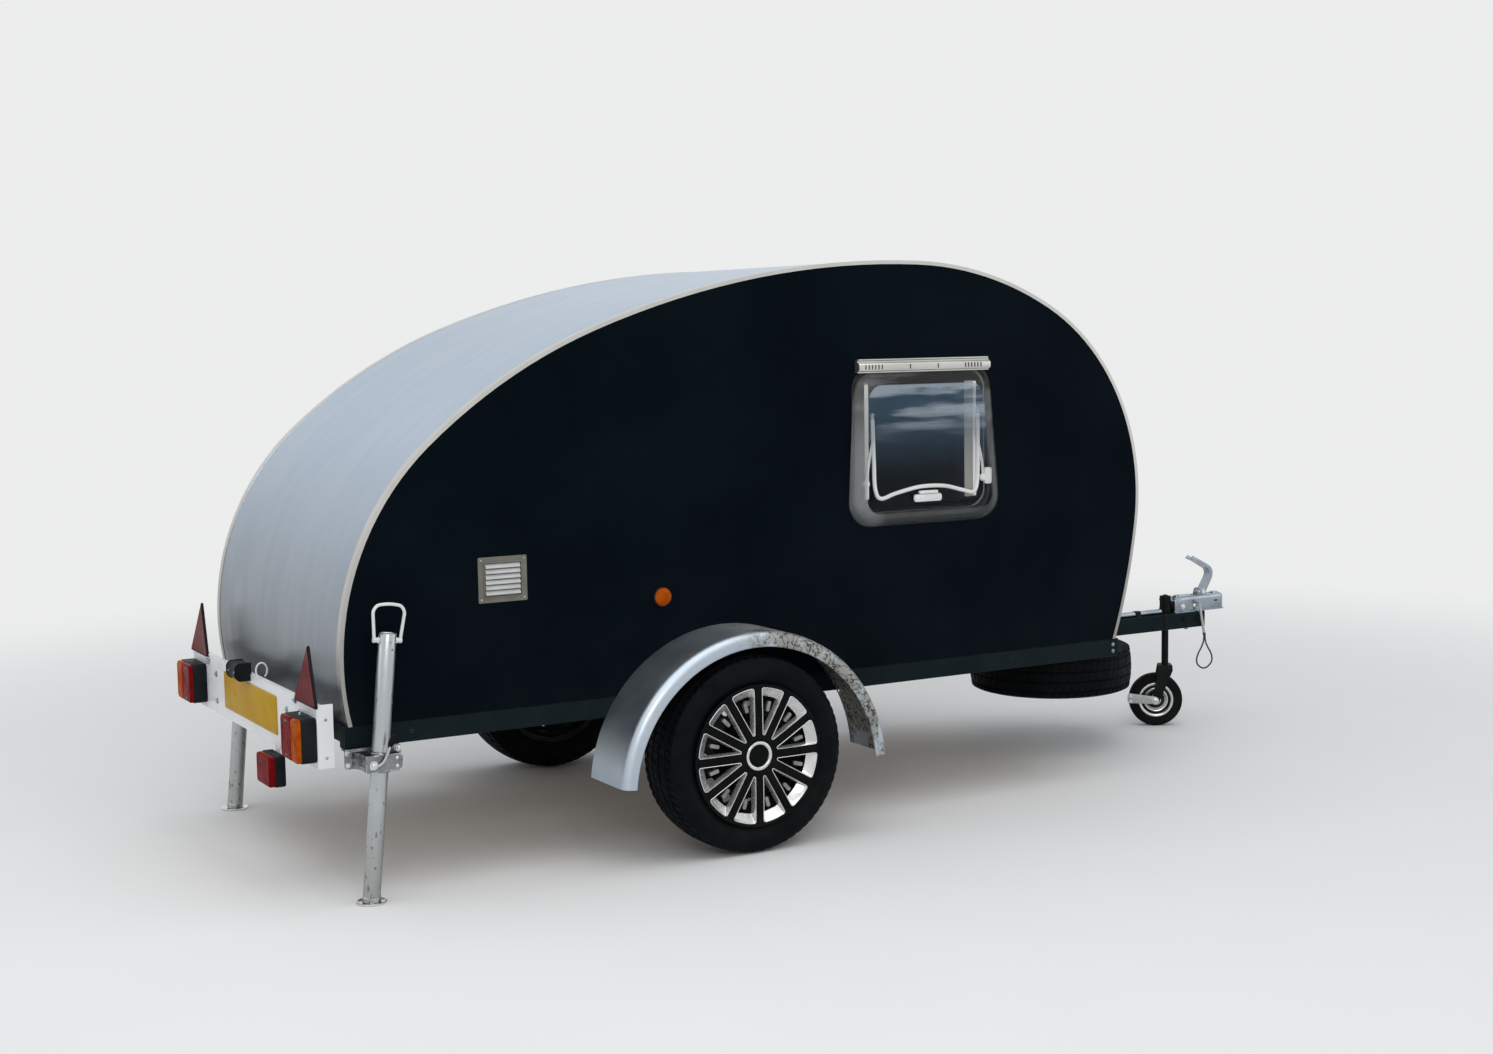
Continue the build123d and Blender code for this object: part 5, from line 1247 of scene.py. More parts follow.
def ribbedLens(width, height, depth, corner, place, ribs, finish, slanted=0.0):
    # Lens front: rings drawn in to the middle, a saw-tooth rise along y, and an edge that falls away by 4 mm
    line = roundRect(width, height, corner, 12)
    shares = np.concatenate([np.linspace(1, 0.86, 4), np.linspace(0.8, 0.0, 22)])
    rings = [np.column_stack([line, np.zeros(len(line))])]
    for share in shares:
        flat = line * share
        drop = 0.004 * (1 - np.sqrt(1 - (max(share - 0.86, 0) / 0.14) ** 2))
        along = flat[:, 1] + slanted * np.abs(flat[:, 0])
        tooth = ((along / ribs) % 1.0) * 0.0016 * (share < 0.84)
        rings.append(np.column_stack([flat, depth - drop - tooth]))
    return skin(placed(np.array(rings), **crossFrame(place, -1)), finish)


def triangleLine(side, corner):
    # Upright triangle about its centre, each corner an arc
    far = side / sqrt(3) - 2 * corner
    spots = [(far * cos(radians(a)), far * sin(radians(a)), a) for a in (-30, 90, 210)]
    return np.concatenate([arc(spot[:2], corner, spot[2] - 60, spot[2] + 60, 9) for spot in spots])


def makeBoardFittings(shape=boardShape):
    x, wide, high = shape["x"], shape["lampWide"], shape["lampHigh"]
    cases, lenses = [], []
    lensX = x - shape["case"]
    for side in (-1, 1):
        place = crossFrame((x, side * shape["lampY"], shape["lampZ"]), -1)
        cases.append(plate(roundRect(wide, high, 0.012), 0.0, shape["case"], 0.0025, 0, **place))
        cases.append(plate(roundRect(wide - 0.006, high - 0.006, 0.01), 0.0, shape["case"] + 0.0013, 0.0008,
            0, **place))
        # Amber on the outer side, red inboard, a dark joint between
        for lens, sense, lower, ribs, finish in ((0.052, 1, 0.0, 0.0075, 1), (0.087, -1, 0.0005, 0.015, 0)):
            y = side * (shape["lampY"] + sense * ((wide - 0.004) / 2 - lens / 2))
            lenses.append(ribbedLens(lens, high - 0.004, shape["lens"] - lower, 0.01,
                (lensX, y, shape["lampZ"]), ribs, finish))
        for offset in (-0.046, 0.046):
            spot = (lensX - shape["lens"] + 0.0014, side * (shape["lampY"] - 0.026), shape["lampZ"] + offset)
            lenses.append(domeScrew(spot, (-1, 0, 0), 0.0035, 0.001, 2))
    wide, high = shape["fogWide"], shape["fogHigh"]
    cases.append(plate(roundRect(wide, high, 0.01), 0.0, shape["fogCase"], 0.0022, 0,
        **crossFrame((x, shape["fogY"], shape["fogZ"]), -1)))
    lenses.append(ribbedLens(wide - 0.004, high - 0.004, shape["fogLens"], 0.009,
        (x - shape["fogCase"], shape["fogY"], shape["fogZ"]), 0.021, 0, 0.35))
    # Plate lamp: moulded hood and its two screws
    hood = bentLine([(0.0, 0.53), (0.034, 0.53), (0.045, 0.541), (0.045, 0.568), (0.036, 0.578),
        (0.0, 0.578)], 0.004)
    hood = np.stack([hood[:, 0], hood[:, 1] - 0.554], -1)
    rings = drawnIn(hood[::-1], [(0.003, -0.042), (0.0009, -0.041), (0, -0.039), (0, 0.039), (0.0009, 0.041),
        (0.003, 0.042)])
    cases.append(skin(placed(rings, **wallFrame((x, shape["hoodY"], 0.554), 1, -1))))
    for y in (shape["hoodY"] - 0.028, shape["hoodY"] + 0.028):
        cases.append(domeScrew((x - 0.0448, y, 0.554), (-1, 0, 0), 0.0032, 0.0012, 1))
    # Side lamps: dark base with an amber dome
    for side in (-1, 1):
        place, out = (-0.817, side * bodyLine["halfWidth"], 0.752), (0, side, 0)
        cases.append(turned([(0, 0.03), (0.0045, 0.03), (0.0058, 0.0288), (0.0058, 0.024)], place, out, 0,
            40))
        turn = np.radians(np.linspace(0, 88, 9))
        dome = [(0.007 + 0.0105 * sin(a), 0.0262 * cos(a) ** 0.75) for a in turn]
        lenses.append(turned([(0.004, 0.0262), (0.007, 0.0266), *dome], place, out, 1, 40))
    makePiece("lamp_cases", cases, ["blackPlastic", "zincPlate"], "chassis",
        ["lamp_housings"])
    makePiece("lamp_fronts", lenses, ["lampRed", "lampAmber", "zincPlate"], "chassis",
        ["lamp_lenses"])

    blank = [plate(roundRect(shape["plateWide"], shape["plateHigh"], 0.006, 6), 0.0, 0.003, 0.0005, 0,
        **crossFrame((x, 0, shape["plateZ"]), -1))]
    for y in (-0.15, 0.15):
        blank.append(domeScrew((x - 0.003, y, shape["plateZ"]), (-1, 0, 0), 0.006, 0.0022, 0))
    makePiece("blank_plate", blank, ["plateYellow"], "chassis", ["number_plate"])

    marks = []
    for side in (-1, 1):
        back = triangleLine(shape["markSide"], 0.004)
        lean = radians(shape["markLean"])
        lift = shape["markSide"] / (2 * sqrt(3))
        tilted = {
            "origin": (x + lift * sin(lean), side * shape["markY"], shape["markLow"] + lift * cos(lean)),
            "xAxis": (0, 1, 0), "yAxis": (sin(lean), 0, cos(lean)), "zAxis": (-cos(lean), 0, sin(lean))}
        marks.append(plate(back, -0.002, 0.0046, 0.0006, 1, **tilted))
        marks.append(plate(inset(back, 0.0045), 0.004, 0.0058, 0.0007, 0, **tilted))
    makePiece("triangle_marks", marks, ["reflectorRed", "blackPlastic"], "chassis",
        ["reflectors"])

    # Screws, bracket nuts and the half ring by the plate lamp
    trims = []
    for side in (-1, 1):
        for z in (0.402, 0.506):
            trims.append(domeScrew((x + 0.024, side * (shape["half"] + 0.0002), z), (0, side, 0), 0.0045,
                0.002, 0))
        for z in (0.412, 0.496):
            trims.extend(hexBolt((x - 0.0002, side * 0.35, z), (-1, 0, 0), 0.01, 0.0045, 0.009, 0))
        trims.extend(hexBolt((x + 0.0005, side * 0.432, 0.532), (-1, 0, 0), 0.009, 0.006, 0.008, 0))
        nut = placed(roundRect(0.02, 0.0085, 0.004, 5), **crossFrame((x - 0.006, side * 0.432, 0.535), -1))
        trims.append(skin(np.stack([nut + np.array([0.0015, 0, 0]), nut - np.array([0.0015, 0, 0])]), 0))
    angle = np.radians(np.linspace(-60, 240, 36))
    ring = np.stack([x + 0.02 + 0.0165 * np.cos(angle), np.full(36, -0.056), 0.562 + 0.022 * np.sin(angle)],
        -1)
    trims.append(tube(ring, 0.0026, (0, 1, 0), 1, 10))
    # Wing nuts over the lamps: two rounded wings on a small boss
    for boss, axis, origin in (((x - 0.02, -0.53, 0.512), (0, 0, 1), (x - 0.02, -0.53, 0.517)),
            ((x - 0.001, 0.43, 0.52), (-1, 0, 0), (x - 0.006, 0.43, 0.52))):
        trims.append(turned([(0, 0.0048), (0.006, 0.0044), (0.0075, 0.003)], boss, axis, 0, 14))
        for lean in (-1, 1):
            wing = roundRect(0.0125, 0.0075, 0.0034, 5, (lean * 0.0075, 0.0058))
            trims.append(plate(wing, -0.0011, 0.0011, 0.0004, 0, **crossFrame(origin)))
    makePiece("board_fixings", trims, ["zincPlate", "boardWhite"], "chassis")


makeBoardFittings()
print("light board dressed")

# Louvred vents
ventShape = {"x": -1.318, "z": 0.842, "width": 0.147, "height": 0.128, "blades": 6, "pitch": 0.015,
    "bladeLong": 0.104}


def makeVents(shape=ventShape):
    for hand, side in hands.items():
        out = wallFrame((shape["x"], side * bodyLine["halfWidth"], shape["z"]), side, side)
        outline = roundRect(shape["width"], shape["height"], 0.004, 5)
        hole = roundRect(shape["bladeLong"] + 0.006, shape["pitch"] * shape["blades"] + 0.004, 0.003, 5)
        rim = roundRect(shape["bladeLong"] + 0.014, shape["pitch"] * shape["blades"] + 0.012, 0.006, 5)
        levels = [(outline, 0.0), (outline, 0.0022), (inset(outline, 0.001), 0.003), (rim, 0.003),
            (inset(rim, 0.0012), 0.006), (inset(rim, 0.0022), 0.0064), (hole, 0.006), (hole, 0.0004)]
        shapes = [skin(placed(levelled(levels), **out), 0)]
        blade = bentLine([(-0.0062, 0.001), (0.002, 0.007), (0.005, 0.0072), (0.0052, 0.006),
            (0.0028, 0.0058), (-0.0052, 0.0)], 0.0006, 3)
        for k in range(shape["blades"]):
            lift = (k - (shape["blades"] - 1) / 2) * shape["pitch"]
            ends = [np.column_stack([np.full(len(blade), end), lift - blade[:, 0], blade[:, 1]])
                for end in (-shape["bladeLong"] / 2, shape["bladeLong"] / 2)]
            shapes.append(skin(placed(np.array(ends), **out), 1))
        for a in (-1, 1):
            for b in (-1, 1):
                shapes.append(domeScrew(spotOn(out, a * 0.0645, b * 0.055, 0.0029), (0, side, 0), 0.0034,
                    0.0014, 2))
        replaced = ["side_vents"] if hand == "right" else []
        makePiece(f"vent_{hand}", shapes, ["ventPlastic", "louvrePlastic", "zincPlate"], "chassis",
            replaced)


makeVents()
print("vents made")

# Rear prop stands: leg, bail handle, clamp with its spoon lever
standShape = {
    "footX": -1.75, "y": 0.645, "lean": 5.5, "radius": 0.024, "top": 0.73, "footRadius": 0.042,
    "clampZ": 0.384, "clampHigh": 0.048, "bracketHalf": 0.08, "railBottom": 0.414, "sideY": 0.587,
}


def makeStand(hand, shape=standShape):
    side = hands[hand]
    lean = radians(shape["lean"])
    up = np.array([sin(lean), 0, cos(lean)])
    across = np.array([cos(lean), 0, -sin(lean)])
    foot = np.array([shape["footX"], side * shape["y"], 0.0])
    reach, r = shape["top"] / cos(lean), shape["radius"]
    profile = [(0.0035, r), (0.014, r + 0.0022), (0.0165, r + 0.0006), (0.019, r), (reach * 0.35, r),
        (reach * 0.7, r), (reach - 0.0035, r), (reach - 0.0012, r - 0.001), (reach - 0.0006, r - 0.003),
        (reach - 0.003, r - 0.0045), (reach - 0.0034, 0.0004)]
    leg = [turned(profile, foot, up, 0, 48)]
    shoe = shape["footRadius"]
    leg.append(turned([(0.0, shoe - 0.002), (0.0008, shoe), (0.005, shoe), (0.006, shoe - 0.0012),
        (0.0062, shoe - 0.004), (0.0048, shoe - 0.007), (0.0048, 0.01)], foot, (0, 0, 1), 1, 56))
    makePiece(f"leg_tube_{hand}", leg, ["standZinc", "polishedSteel"], f"stand_{hand}",
        [f"stand_leg_{hand}"])

    top = foot + up * reach
    plane = {"origin": top, "xAxis": tuple(across), "yAxis": tuple(up), "zAxis": (0, side, 0)}
    flat = [(-0.0365, -0.02), (-0.045, 0.058), (-0.034, 0.074), (0.0, 0.0785), (0.034, 0.074),
        (0.045, 0.058), (0.0365, -0.02)]
    bail = bentLine([(a, b, 0.0) for a, b in flat], 0.016, 7)
    shapes = [tube(placed(bail, **plane), 0.0045, (0, 1, 0), 0, 12)]
    for a in (-1, 1):
        spot = spotOn(plane, a * r * 0.97, -0.02, 0.0)
        boss = [(0.0, 0.0085), (0.003, 0.0085), (0.0042, 0.0072), (0.012, 0.007), (0.015, 0.0078),
            (0.0172, 0.007), (0.0176, 0.0008)]
        shapes.append(turned(boss, spot, across * a, 0, 22))
    makePiece(f"bail_handle_{hand}", shapes, ["whitePaint"], f"stand_{hand}",
        [f"stand_handle_{hand}"])

    # Clamp in plan: pressed plate bulging round the tube, then its bracket on the rail
    z, half = shape["clampZ"], shape["clampHigh"] / 2
    centreX = shape["footX"] + z * tan(lean)
    outer = bentLine([(-0.064, 0.0), (-0.048, 0.026), (-0.048, 0.092), (0.048, 0.092), (0.048, 0.026),
        (0.064, 0.0)], 0.014, 7)
    sideY = side * shape["sideY"]
    levels = [(0.004, -half), (0.0012, -half + 0.0012), (0.0, -half + 0.004), (0.0, half - 0.004),
        (0.0012, half - 0.0012), (0.004, half)]
    jaw = [skin(placed(drawnIn(outer[::-1], levels), (centreX, sideY, z), yAxis=(0, side, 0)), 0)]
    # Rolled collar where the tube passes, above and below
    for level, sense in ((z + half, 1), (z - half, -1)):
        spot = foot + up * (level / cos(lean))
        jaw.append(turned([(-0.001, r + 0.0006), (-0.001, r + 0.0075), (0.0016, r + 0.0068),
            (0.003, r + 0.0045), (0.0032, r + 0.0006)], spot, up * sense, 0, 40, wrap=True))
    bracket = wallFrame((centreX, sideY, 0.387), side, side)
    jaw.append(plate(roundRect(2 * shape["bracketHalf"], 0.054, 0.008, 6), 0.0, 0.006, 0.001, 0, **bracket))
    jaw.append(block(2 * shape["bracketHalf"] - 0.004, 0.03, 0.006,
        (centreX, side * (shape["sideY"] - 0.015), shape["railBottom"] - 0.003), 0.003, 0.0008))
    for a in (-0.072, 0.072):
        for b in (-0.016, 0.016):
            jaw += hexBolt(spotOn(bracket, a, b, 0.0058), (0, side, 0), 0.01, 0.0055, 0.0075, 1)
    faceY = side * (shape["sideY"] + 0.092)
    # Front strip with its bent upper lip, two screws and the pinch bolt
    strip = bentLine([(-0.05, -0.022), (-0.03, -0.022), (0.05, -0.018), (0.052, 0.022), (-0.05, 0.022)],
        0.012, 6)
    if side > 0:
        strip = (strip * np.array([-1, 1]))[::-1]
    front = wallFrame((centreX, faceY, z), side)
    jaw.append(plate(strip[::-1], 0.0, 0.0028, 0.0008, 0, **front))
    for a, b in ((0.036, -0.01), (0.036, 0.012), (-0.036, -0.01)):
        jaw.append(domeScrew(spotOn(front, a, b, 0.0026), (0, side, 0), 0.0042, 0.0016, 1))
    makePiece(f"stand_jaw_{hand}", jaw, ["pressedPlate", "polishedSteel"], "chassis",
        [f"stand_clamp_{hand}"])

    # Spoon lever: a bent rod from the pinch bolt, ending in a dark oval grip
    pivot = np.array([centreX - 0.03, faceY + side * 0.0072, z - 0.002])
    route = np.array([(0.0, 0.0, 0.0), (0.012, 0.001, -0.001), (0.026, 0.003, 0.01), (0.036, 0.005, 0.03),
        (0.043, 0.005, 0.048)])
    rod = smoothLine(pivot + route * np.array([1, side, 1]), 26)
    ahead = unit(rod[-1] - rod[-2])
    spoon = rod[-1] + ahead * np.linspace(-0.004, 0.034, 24)[:, None]
    swell = np.sin(np.linspace(0.12, 0.96, 24) * pi) ** 0.55
    lever = [tube(rod, 0.0036, (0, 1, 0), 2, 14), swept(spoon, roundRect(0.017, 0.007, 0.0033, 5),
        (1, 0, -0.5), 0, scale=swell)]
    lever += hexBolt(pivot - np.array([0, side * 0.0046, 0]), (0, side, 0), 0.013, 0.009, 0.012, 1)
    makePiece(f"stand_lever_{hand}", lever, ["darkPaint", "polishedSteel", "barSilver"], "chassis")


for hand in hands:
    makeStand(hand)
print("prop stands made")

# Coupling head and lever
couplingShape = {
    "rear": 1.661, "ball": 1.8859, "half": 0.032, "low": 0.43, "top": 0.4885,
    "ballRadius": 0.02525, "leverX": 1.812, "eye": 0.498, "leverHalf": 0.016,
}


def couplingLine(shape, wider=0.0, rearCorner=0.006):
    # Plan outline, anticlockwise: straight sides from the rear, half circle round the ball
    half = shape["half"] + wider
    nose = arc((shape["ball"], 0), half, -90, 90, 25)
    sides = np.linspace(shape["ball"], shape["rear"] + rearCorner, 8)[1:]
    left = np.stack([sides, np.full(7, half)], -1)
    leftCorner = arc((shape["rear"] + rearCorner, half - rearCorner), rearCorner, 90, 180, 5)[1:]
    rightCorner = arc((shape["rear"] + rearCorner, -half + rearCorner), rearCorner, 180, 270, 5)
    right = np.stack([sides[::-1], np.full(7, -half)], -1)[1:]
    return np.concatenate([nose, left, leftCorner, rightCorner, right])


def makeCoupling(shape=couplingShape):
    line = couplingLine(shape)
    # The top slopes down over the last 30 mm of the rear end
    rearward = (shape["rear"] + 0.03 - line[:, 0]).clip(0, 0.03) / 0.03
    levels = [(0.0295, 0.054), (0.024, 0.0596), (0.016, 0.0602), (0.0115, 0.06), (0.0065, 0.0585),
        (0.0026, 0.055), (0.0006, 0.05), (0.0, 0.045), (0.0, 0.01), (0.001, 0.0062), (-0.0012, 0.0042),
        (-0.004, 0.004), (-0.004, 0.0), (0.003, 0.0), (0.003, 0.04), (0.009, 0.05), (0.022, 0.0505)]
    rings = []
    for drawn, rise in levels:
        flat = inset(line, drawn) if drawn > 0 else couplingLine(shape, -drawn) if drawn < 0 else line
        fall = 0.01 * rearward**2 * (rise > 0.03)
        rings.append(np.column_stack([flat, shape["low"] + rise - fall]))
    shapes = [skin(np.array(rings), 0)]
    # Ball cup under the nose
    r = shape["ballRadius"]
    turn = np.radians(np.linspace(0, 86, 9))
    inner = [(0.022 + r * sin(a), r * cos(a)) for a in turn]
    outerCup = [(0.022 + (r + 0.003) * sin(a), (r + 0.003) * cos(a)) for a in turn[::-1]]
    cup = [(0.0008, r), *inner, *outerCup, (0.0008, r + 0.003)]
    shapes.append(turned(cup, (shape["ball"], 0, shape["low"]), (0, 0, 1), 0, 48, wrap=True))
    # Pressed rib on top, slot at the nose, cross bolts, ears for the lever
    shapes.append(plate(roundRect(0.084, 0.026, 0.012, 8, (1.724, 0.0)), 0.486, 0.4928, 0.0022, 0))
    shapes.append(plate(roundRect(0.026, 0.009, 0.0044, 5, (1.7, 0.0)), 0.4918, 0.4934, 0.0004, 2))
    shapes.append(plate(roundRect(0.034, 0.034, 0.0169, 10, (1.886, 0.0)), 0.486, 0.4938, 0.003, 0))
    slot = roundRect(0.018, 0.006, 0.0029, 5)
    ear = np.concatenate([[(-0.018, -0.004), (0.018, -0.004)], arc((0.0, 0.012), 0.0125, 0, 180, 12)])
    for side, earY in ((-1, -0.0163), (1, 0.0203)):
        shapes.append(plate(slot, 0.0, 0.0006, 0.0002, 2,
            **wallFrame((1.866, side * (shape["half"] - 0.0001), 0.464), side)))
        for x in (1.7, 1.762):
            shapes += hexBolt((x, side * (shape["half"] - 0.0004), 0.452), (0, side, 0), 0.013, 0.006, 0.01,
                1)
        shapes.append(plate(ear, 0.0, 0.004, 0.0005, 0, **wallFrame((shape["leverX"], earY, shape["top"]),
            -1)))
    makePiece("coupling_shell", shapes, ["zincPlate", "polishedSteel", "sealRubber"], "chassis",
        ["coupling_head"], sharp=30)

    # Lever: pressed channel along its outer line, flanges on the hollow side, a hole at the tip
    eyeX, eyeZ = shape["leverX"], shape["eye"]
    run = bentLine([(eyeX - 0.004, 0, eyeZ - 0.006), (eyeX + 0.014, 0, eyeZ + 0.026),
        (eyeX + 0.047, 0, eyeZ + 0.078), (eyeX - 0.056, 0, eyeZ + 0.132)], 0.032, 12)
    u = np.linspace(0, 1, 44)
    lengths = np.concatenate([[0], np.cumsum(np.linalg.norm(np.diff(run, axis=0), axis=1))])
    run = np.stack([np.interp(u * lengths[-1], lengths, run[:, k]) for k in range(3)], -1)
    w, d, t = shape["leverHalf"] + 0.0015, 0.0155, 0.0028
    channel = np.array([(-w, 0.0), (w, 0.0), (w, d), (w - t, d), (w - t, t), (-w + t, t), (-w + t, d),
        (-w, d)])
    channel = bentLine(np.concatenate([channel, channel[:1]]), 0.0012, 3)[:-1]
    taper = 1 - 0.16 * u**2
    lever = [swept(run, channel * np.array([1, -1]), (0, 1, 0), 0, scale=taper)]
    tip = run[-1]
    along = unit(run[-1] - run[-3])
    outward = np.cross(along, (0, 1, 0))
    lever.append(turned([(-0.0003, 0.01323), (0.0022, 0.01323), (0.0026, 0.012), (0.0026, 0.0062),
        (0.0006, 0.0052)], tip, outward, 0, 24))
    lever.append(turned([(-0.0001, 0.0054), (0.0011, 0.0054), (0.0012, 0.001)], tip + outward * 0.0001,
        outward, 1, 20))
    lever.append(turned([(-0.0215, 0.0005), (-0.0213, 0.004), (0.0213, 0.004), (0.0215, 0.0005)],
        (eyeX, 0, eyeZ), (0, 1, 0), 2, 20))
    for side in (-1, 1):
        lever.append(turned([(0.0, 0.0078), (0.0022, 0.0078), (0.0028, 0.006), (0.0028, 0.0005)],
            (eyeX, side * 0.0203, eyeZ), (0, side, 0), 2, 22))
    makePiece("hitch_lever", lever, ["zincPlate", "sealRubber", "polishedSteel"], "chassis",
        ["coupling_lever"], sharp=35)


makeCoupling()
print("coupling made")

# Jockey wheel: post, clamp, castor fork, pressed rim and solid tyre
jockeyShape = {
    "x": 1.64, "turn": 35.0, "trail": 0.035, "wheelZ": 0.1, "radius": 0.1, "width": 0.046, "bead": 0.062,
    "post": 0.013, "postLow": 0.2343, "postTop": 0.5, "crown": 0.212, "crownHigh": 0.022,
    "cheek": 0.028, "sheet": 0.004,
    "barMiddle": -0.085, "barLong": 0.116, "barHigh": 0.038, "barZ": 0.104,
}
castorTurn = radians(jockeyShape["turn"])
castorAhead = np.array([cos(castorTurn), -sin(castorTurn), 0.0])
castorAcross = np.array([-sin(castorTurn), -cos(castorTurn), 0.0])


def makeJockeyWheel(shape=jockeyShape):
    centre = np.array([shape["x"], 0, shape["wheelZ"]]) - castorAhead * shape["trail"]
    half, radius, bead = shape["width"] / 2, shape["radius"], shape["bead"]
    # Tyre: bulged walls, flat crown with four fine grooves
    wall = [(half * 0.7, bead + 0.001), (half * 0.9, bead + 0.003), (half * 0.985, bead + 0.01),
        (half, bead + 0.019), (half * 0.98, radius - 0.01), (half * 0.9, radius - 0.0042),
        (half * 0.76, radius - 0.0012)]
    crown = []
    for spot in (0.0115, 0.004, -0.004, -0.0115):
        crown += [(spot + 0.0016, radius - 0.0003), (spot + 0.0009, radius - 0.002),
            (spot - 0.0009, radius - 0.002), (spot - 0.0016, radius - 0.0003)]
    mirror = [(-a, b) for a, b in wall[::-1]]
    makePiece("jockey_rubber", [turned([*wall, *crown, *mirror], centre, castorAcross, 0, 120, wrap=True)],
        ["solidRubber"], "jockey_wheel", ["jockey_tyre"], sharp=30)
    # Rim: outer flange, groove, raised step ring, dish and hub, alike on both faces
    face = [(0.015, 0.0622), (0.019, 0.0645), (0.0208, 0.0646), (0.0212, 0.063), (0.0205, 0.059),
        (0.018, 0.0555), (0.0135, 0.052), (0.0125, 0.049), (0.015, 0.0462), (0.0185, 0.045),
        (0.0198, 0.0432), (0.019, 0.0405), (0.014, 0.0372), (0.01, 0.033), (0.0092, 0.025), (0.012, 0.0215),
        (0.0205, 0.02), (0.0232, 0.0185), (0.0238, 0.0165), (0.0238, 0.012), (0.0222, 0.01), (0.0222, 0.007)]
    profile = [*face, *[(-a, b) for a, b in face[::-1]]]
    piece = makePiece("jockey_disc", [turned(profile, centre, castorAcross, 0, 72, wrap=True)],
        ["trimSilver", "rimDark"], "jockey_wheel", ["jockey_rim"], sharp=34)
    # Painted shade in the recesses: the groove between the flange and the step ring, and the dish, take the dark
    # finish
    shadedRecesses = np.zeros(len(profile), bool)
    shadedRecesses[[5, 6, 7, 13, 14]] = True
    shadedRecesses |= np.roll(shadedRecesses[::-1], -1)
    piece.data.polygons.foreach_set("material_index", np.repeat(shadedRecesses, 72).astype(np.int32))


def castorFrame(origin):
    return {"origin": origin, "xAxis": castorAhead, "yAxis": (0, 0, 1), "zAxis": castorAcross}


def makeJockeyFork(shape=jockeyShape):
    # Cheeks taper from the crown to the axle; the crown is a folded plate; a pale flat bar is bolted outside
    x, sheet, crown = shape["x"], shape["sheet"], shape["crown"]
    top = crown + shape["crownHigh"]
    dropX = -shape["trail"]
    line = [(0.026, crown), (0.0255, top - 0.004), (0.022, top), (-0.022, top), (-0.0255, top - 0.004)]
    line = np.concatenate([line, arc((dropX, shape["wheelZ"]), 0.0138, 172, 352, 16)])
    parts = []
    for side in (-1, 1):
        low, high = (0.0, sheet) if side > 0 else (-sheet, 0.0)
        origin = np.array([x, 0, 0]) + castorAcross * side * shape["cheek"]
        parts.append(plate(line, low, high, 0.0009, 0, **castorFrame(origin)))
        cap = (origin + castorAcross * side * sheet * 0.9 - castorAhead * shape["trail"]
            + np.array([0, 0, shape["wheelZ"]]))
        if side < 0:
            parts += hexBolt(cap, castorAcross * side, 0.016, 0.0085, 0.012, 1)
        for spot in (-0.014, 0.014):
            rivet = (origin + castorAcross * side * sheet * 0.9 + castorAhead * spot
                + np.array([0, 0, top - 0.01]))
            parts.append(domeScrew(rivet, castorAcross * side, 0.0045, 0.0022, 0))
    wide = 2 * shape["cheek"]
    bridge = roundRect(0.05, 0.006, 0.002, 4, (0, top - 0.003))
    parts.append(plate(bridge, -wide / 2, wide / 2, 0.0002, 0, **castorFrame((x, 0, 0))))
    parts.append(turned([(0, 0.0058), (2 * shape["cheek"], 0.0058)], np.array([x, 0, shape["wheelZ"]])
        - castorAhead * shape["trail"] - castorAcross * shape["cheek"], castorAcross, 1, 24))
    parts.append(turned([(0.0, 0.0115), (0.0022, 0.0115), (0.0026, 0.008), (0.021, 0.0079), (0.0214, 0.007)],
        (x, 0, top - 0.003), (0, 0, 1), 1, 28))
    makePiece("jockey_cheeks", parts, ["darkPaint", "zincPlate"], "jockey_castor",
        ["jockey_fork"])
    # Bar: rounded ends and bolts at both ends
    face = castorFrame(np.array([x, 0, shape["barZ"]]) + castorAcross * (shape["cheek"] + sheet)
        + castorAhead * shape["barMiddle"])
    line = roundRect(shape["barLong"], shape["barHigh"], 0.012, 9)
    along = line[:, 0] / shape["barLong"] + 0.5
    line = np.stack([line[:, 0], line[:, 1] * (1 - 0.3 * along) + 0.01 * (0.5 - along)], -1)
    bar = [plate(line, 0.0, sheet, 0.0007, 0, **face)]
    for a, b, *sizes in ((0.047, -0.004, 0.016, 0.008, 0.013), (-0.047, 0.013, 0.009, 0.0046, 0.007),
            (-0.047, -0.007, 0.009, 0.0046, 0.007)):
        bar += hexBolt(spotOn(face, a, b, sheet * 0.95), castorAcross, *sizes, 1)
    makePiece("jockey_bar", bar, ["barSilver", "polishedSteel"], "jockey_castor")


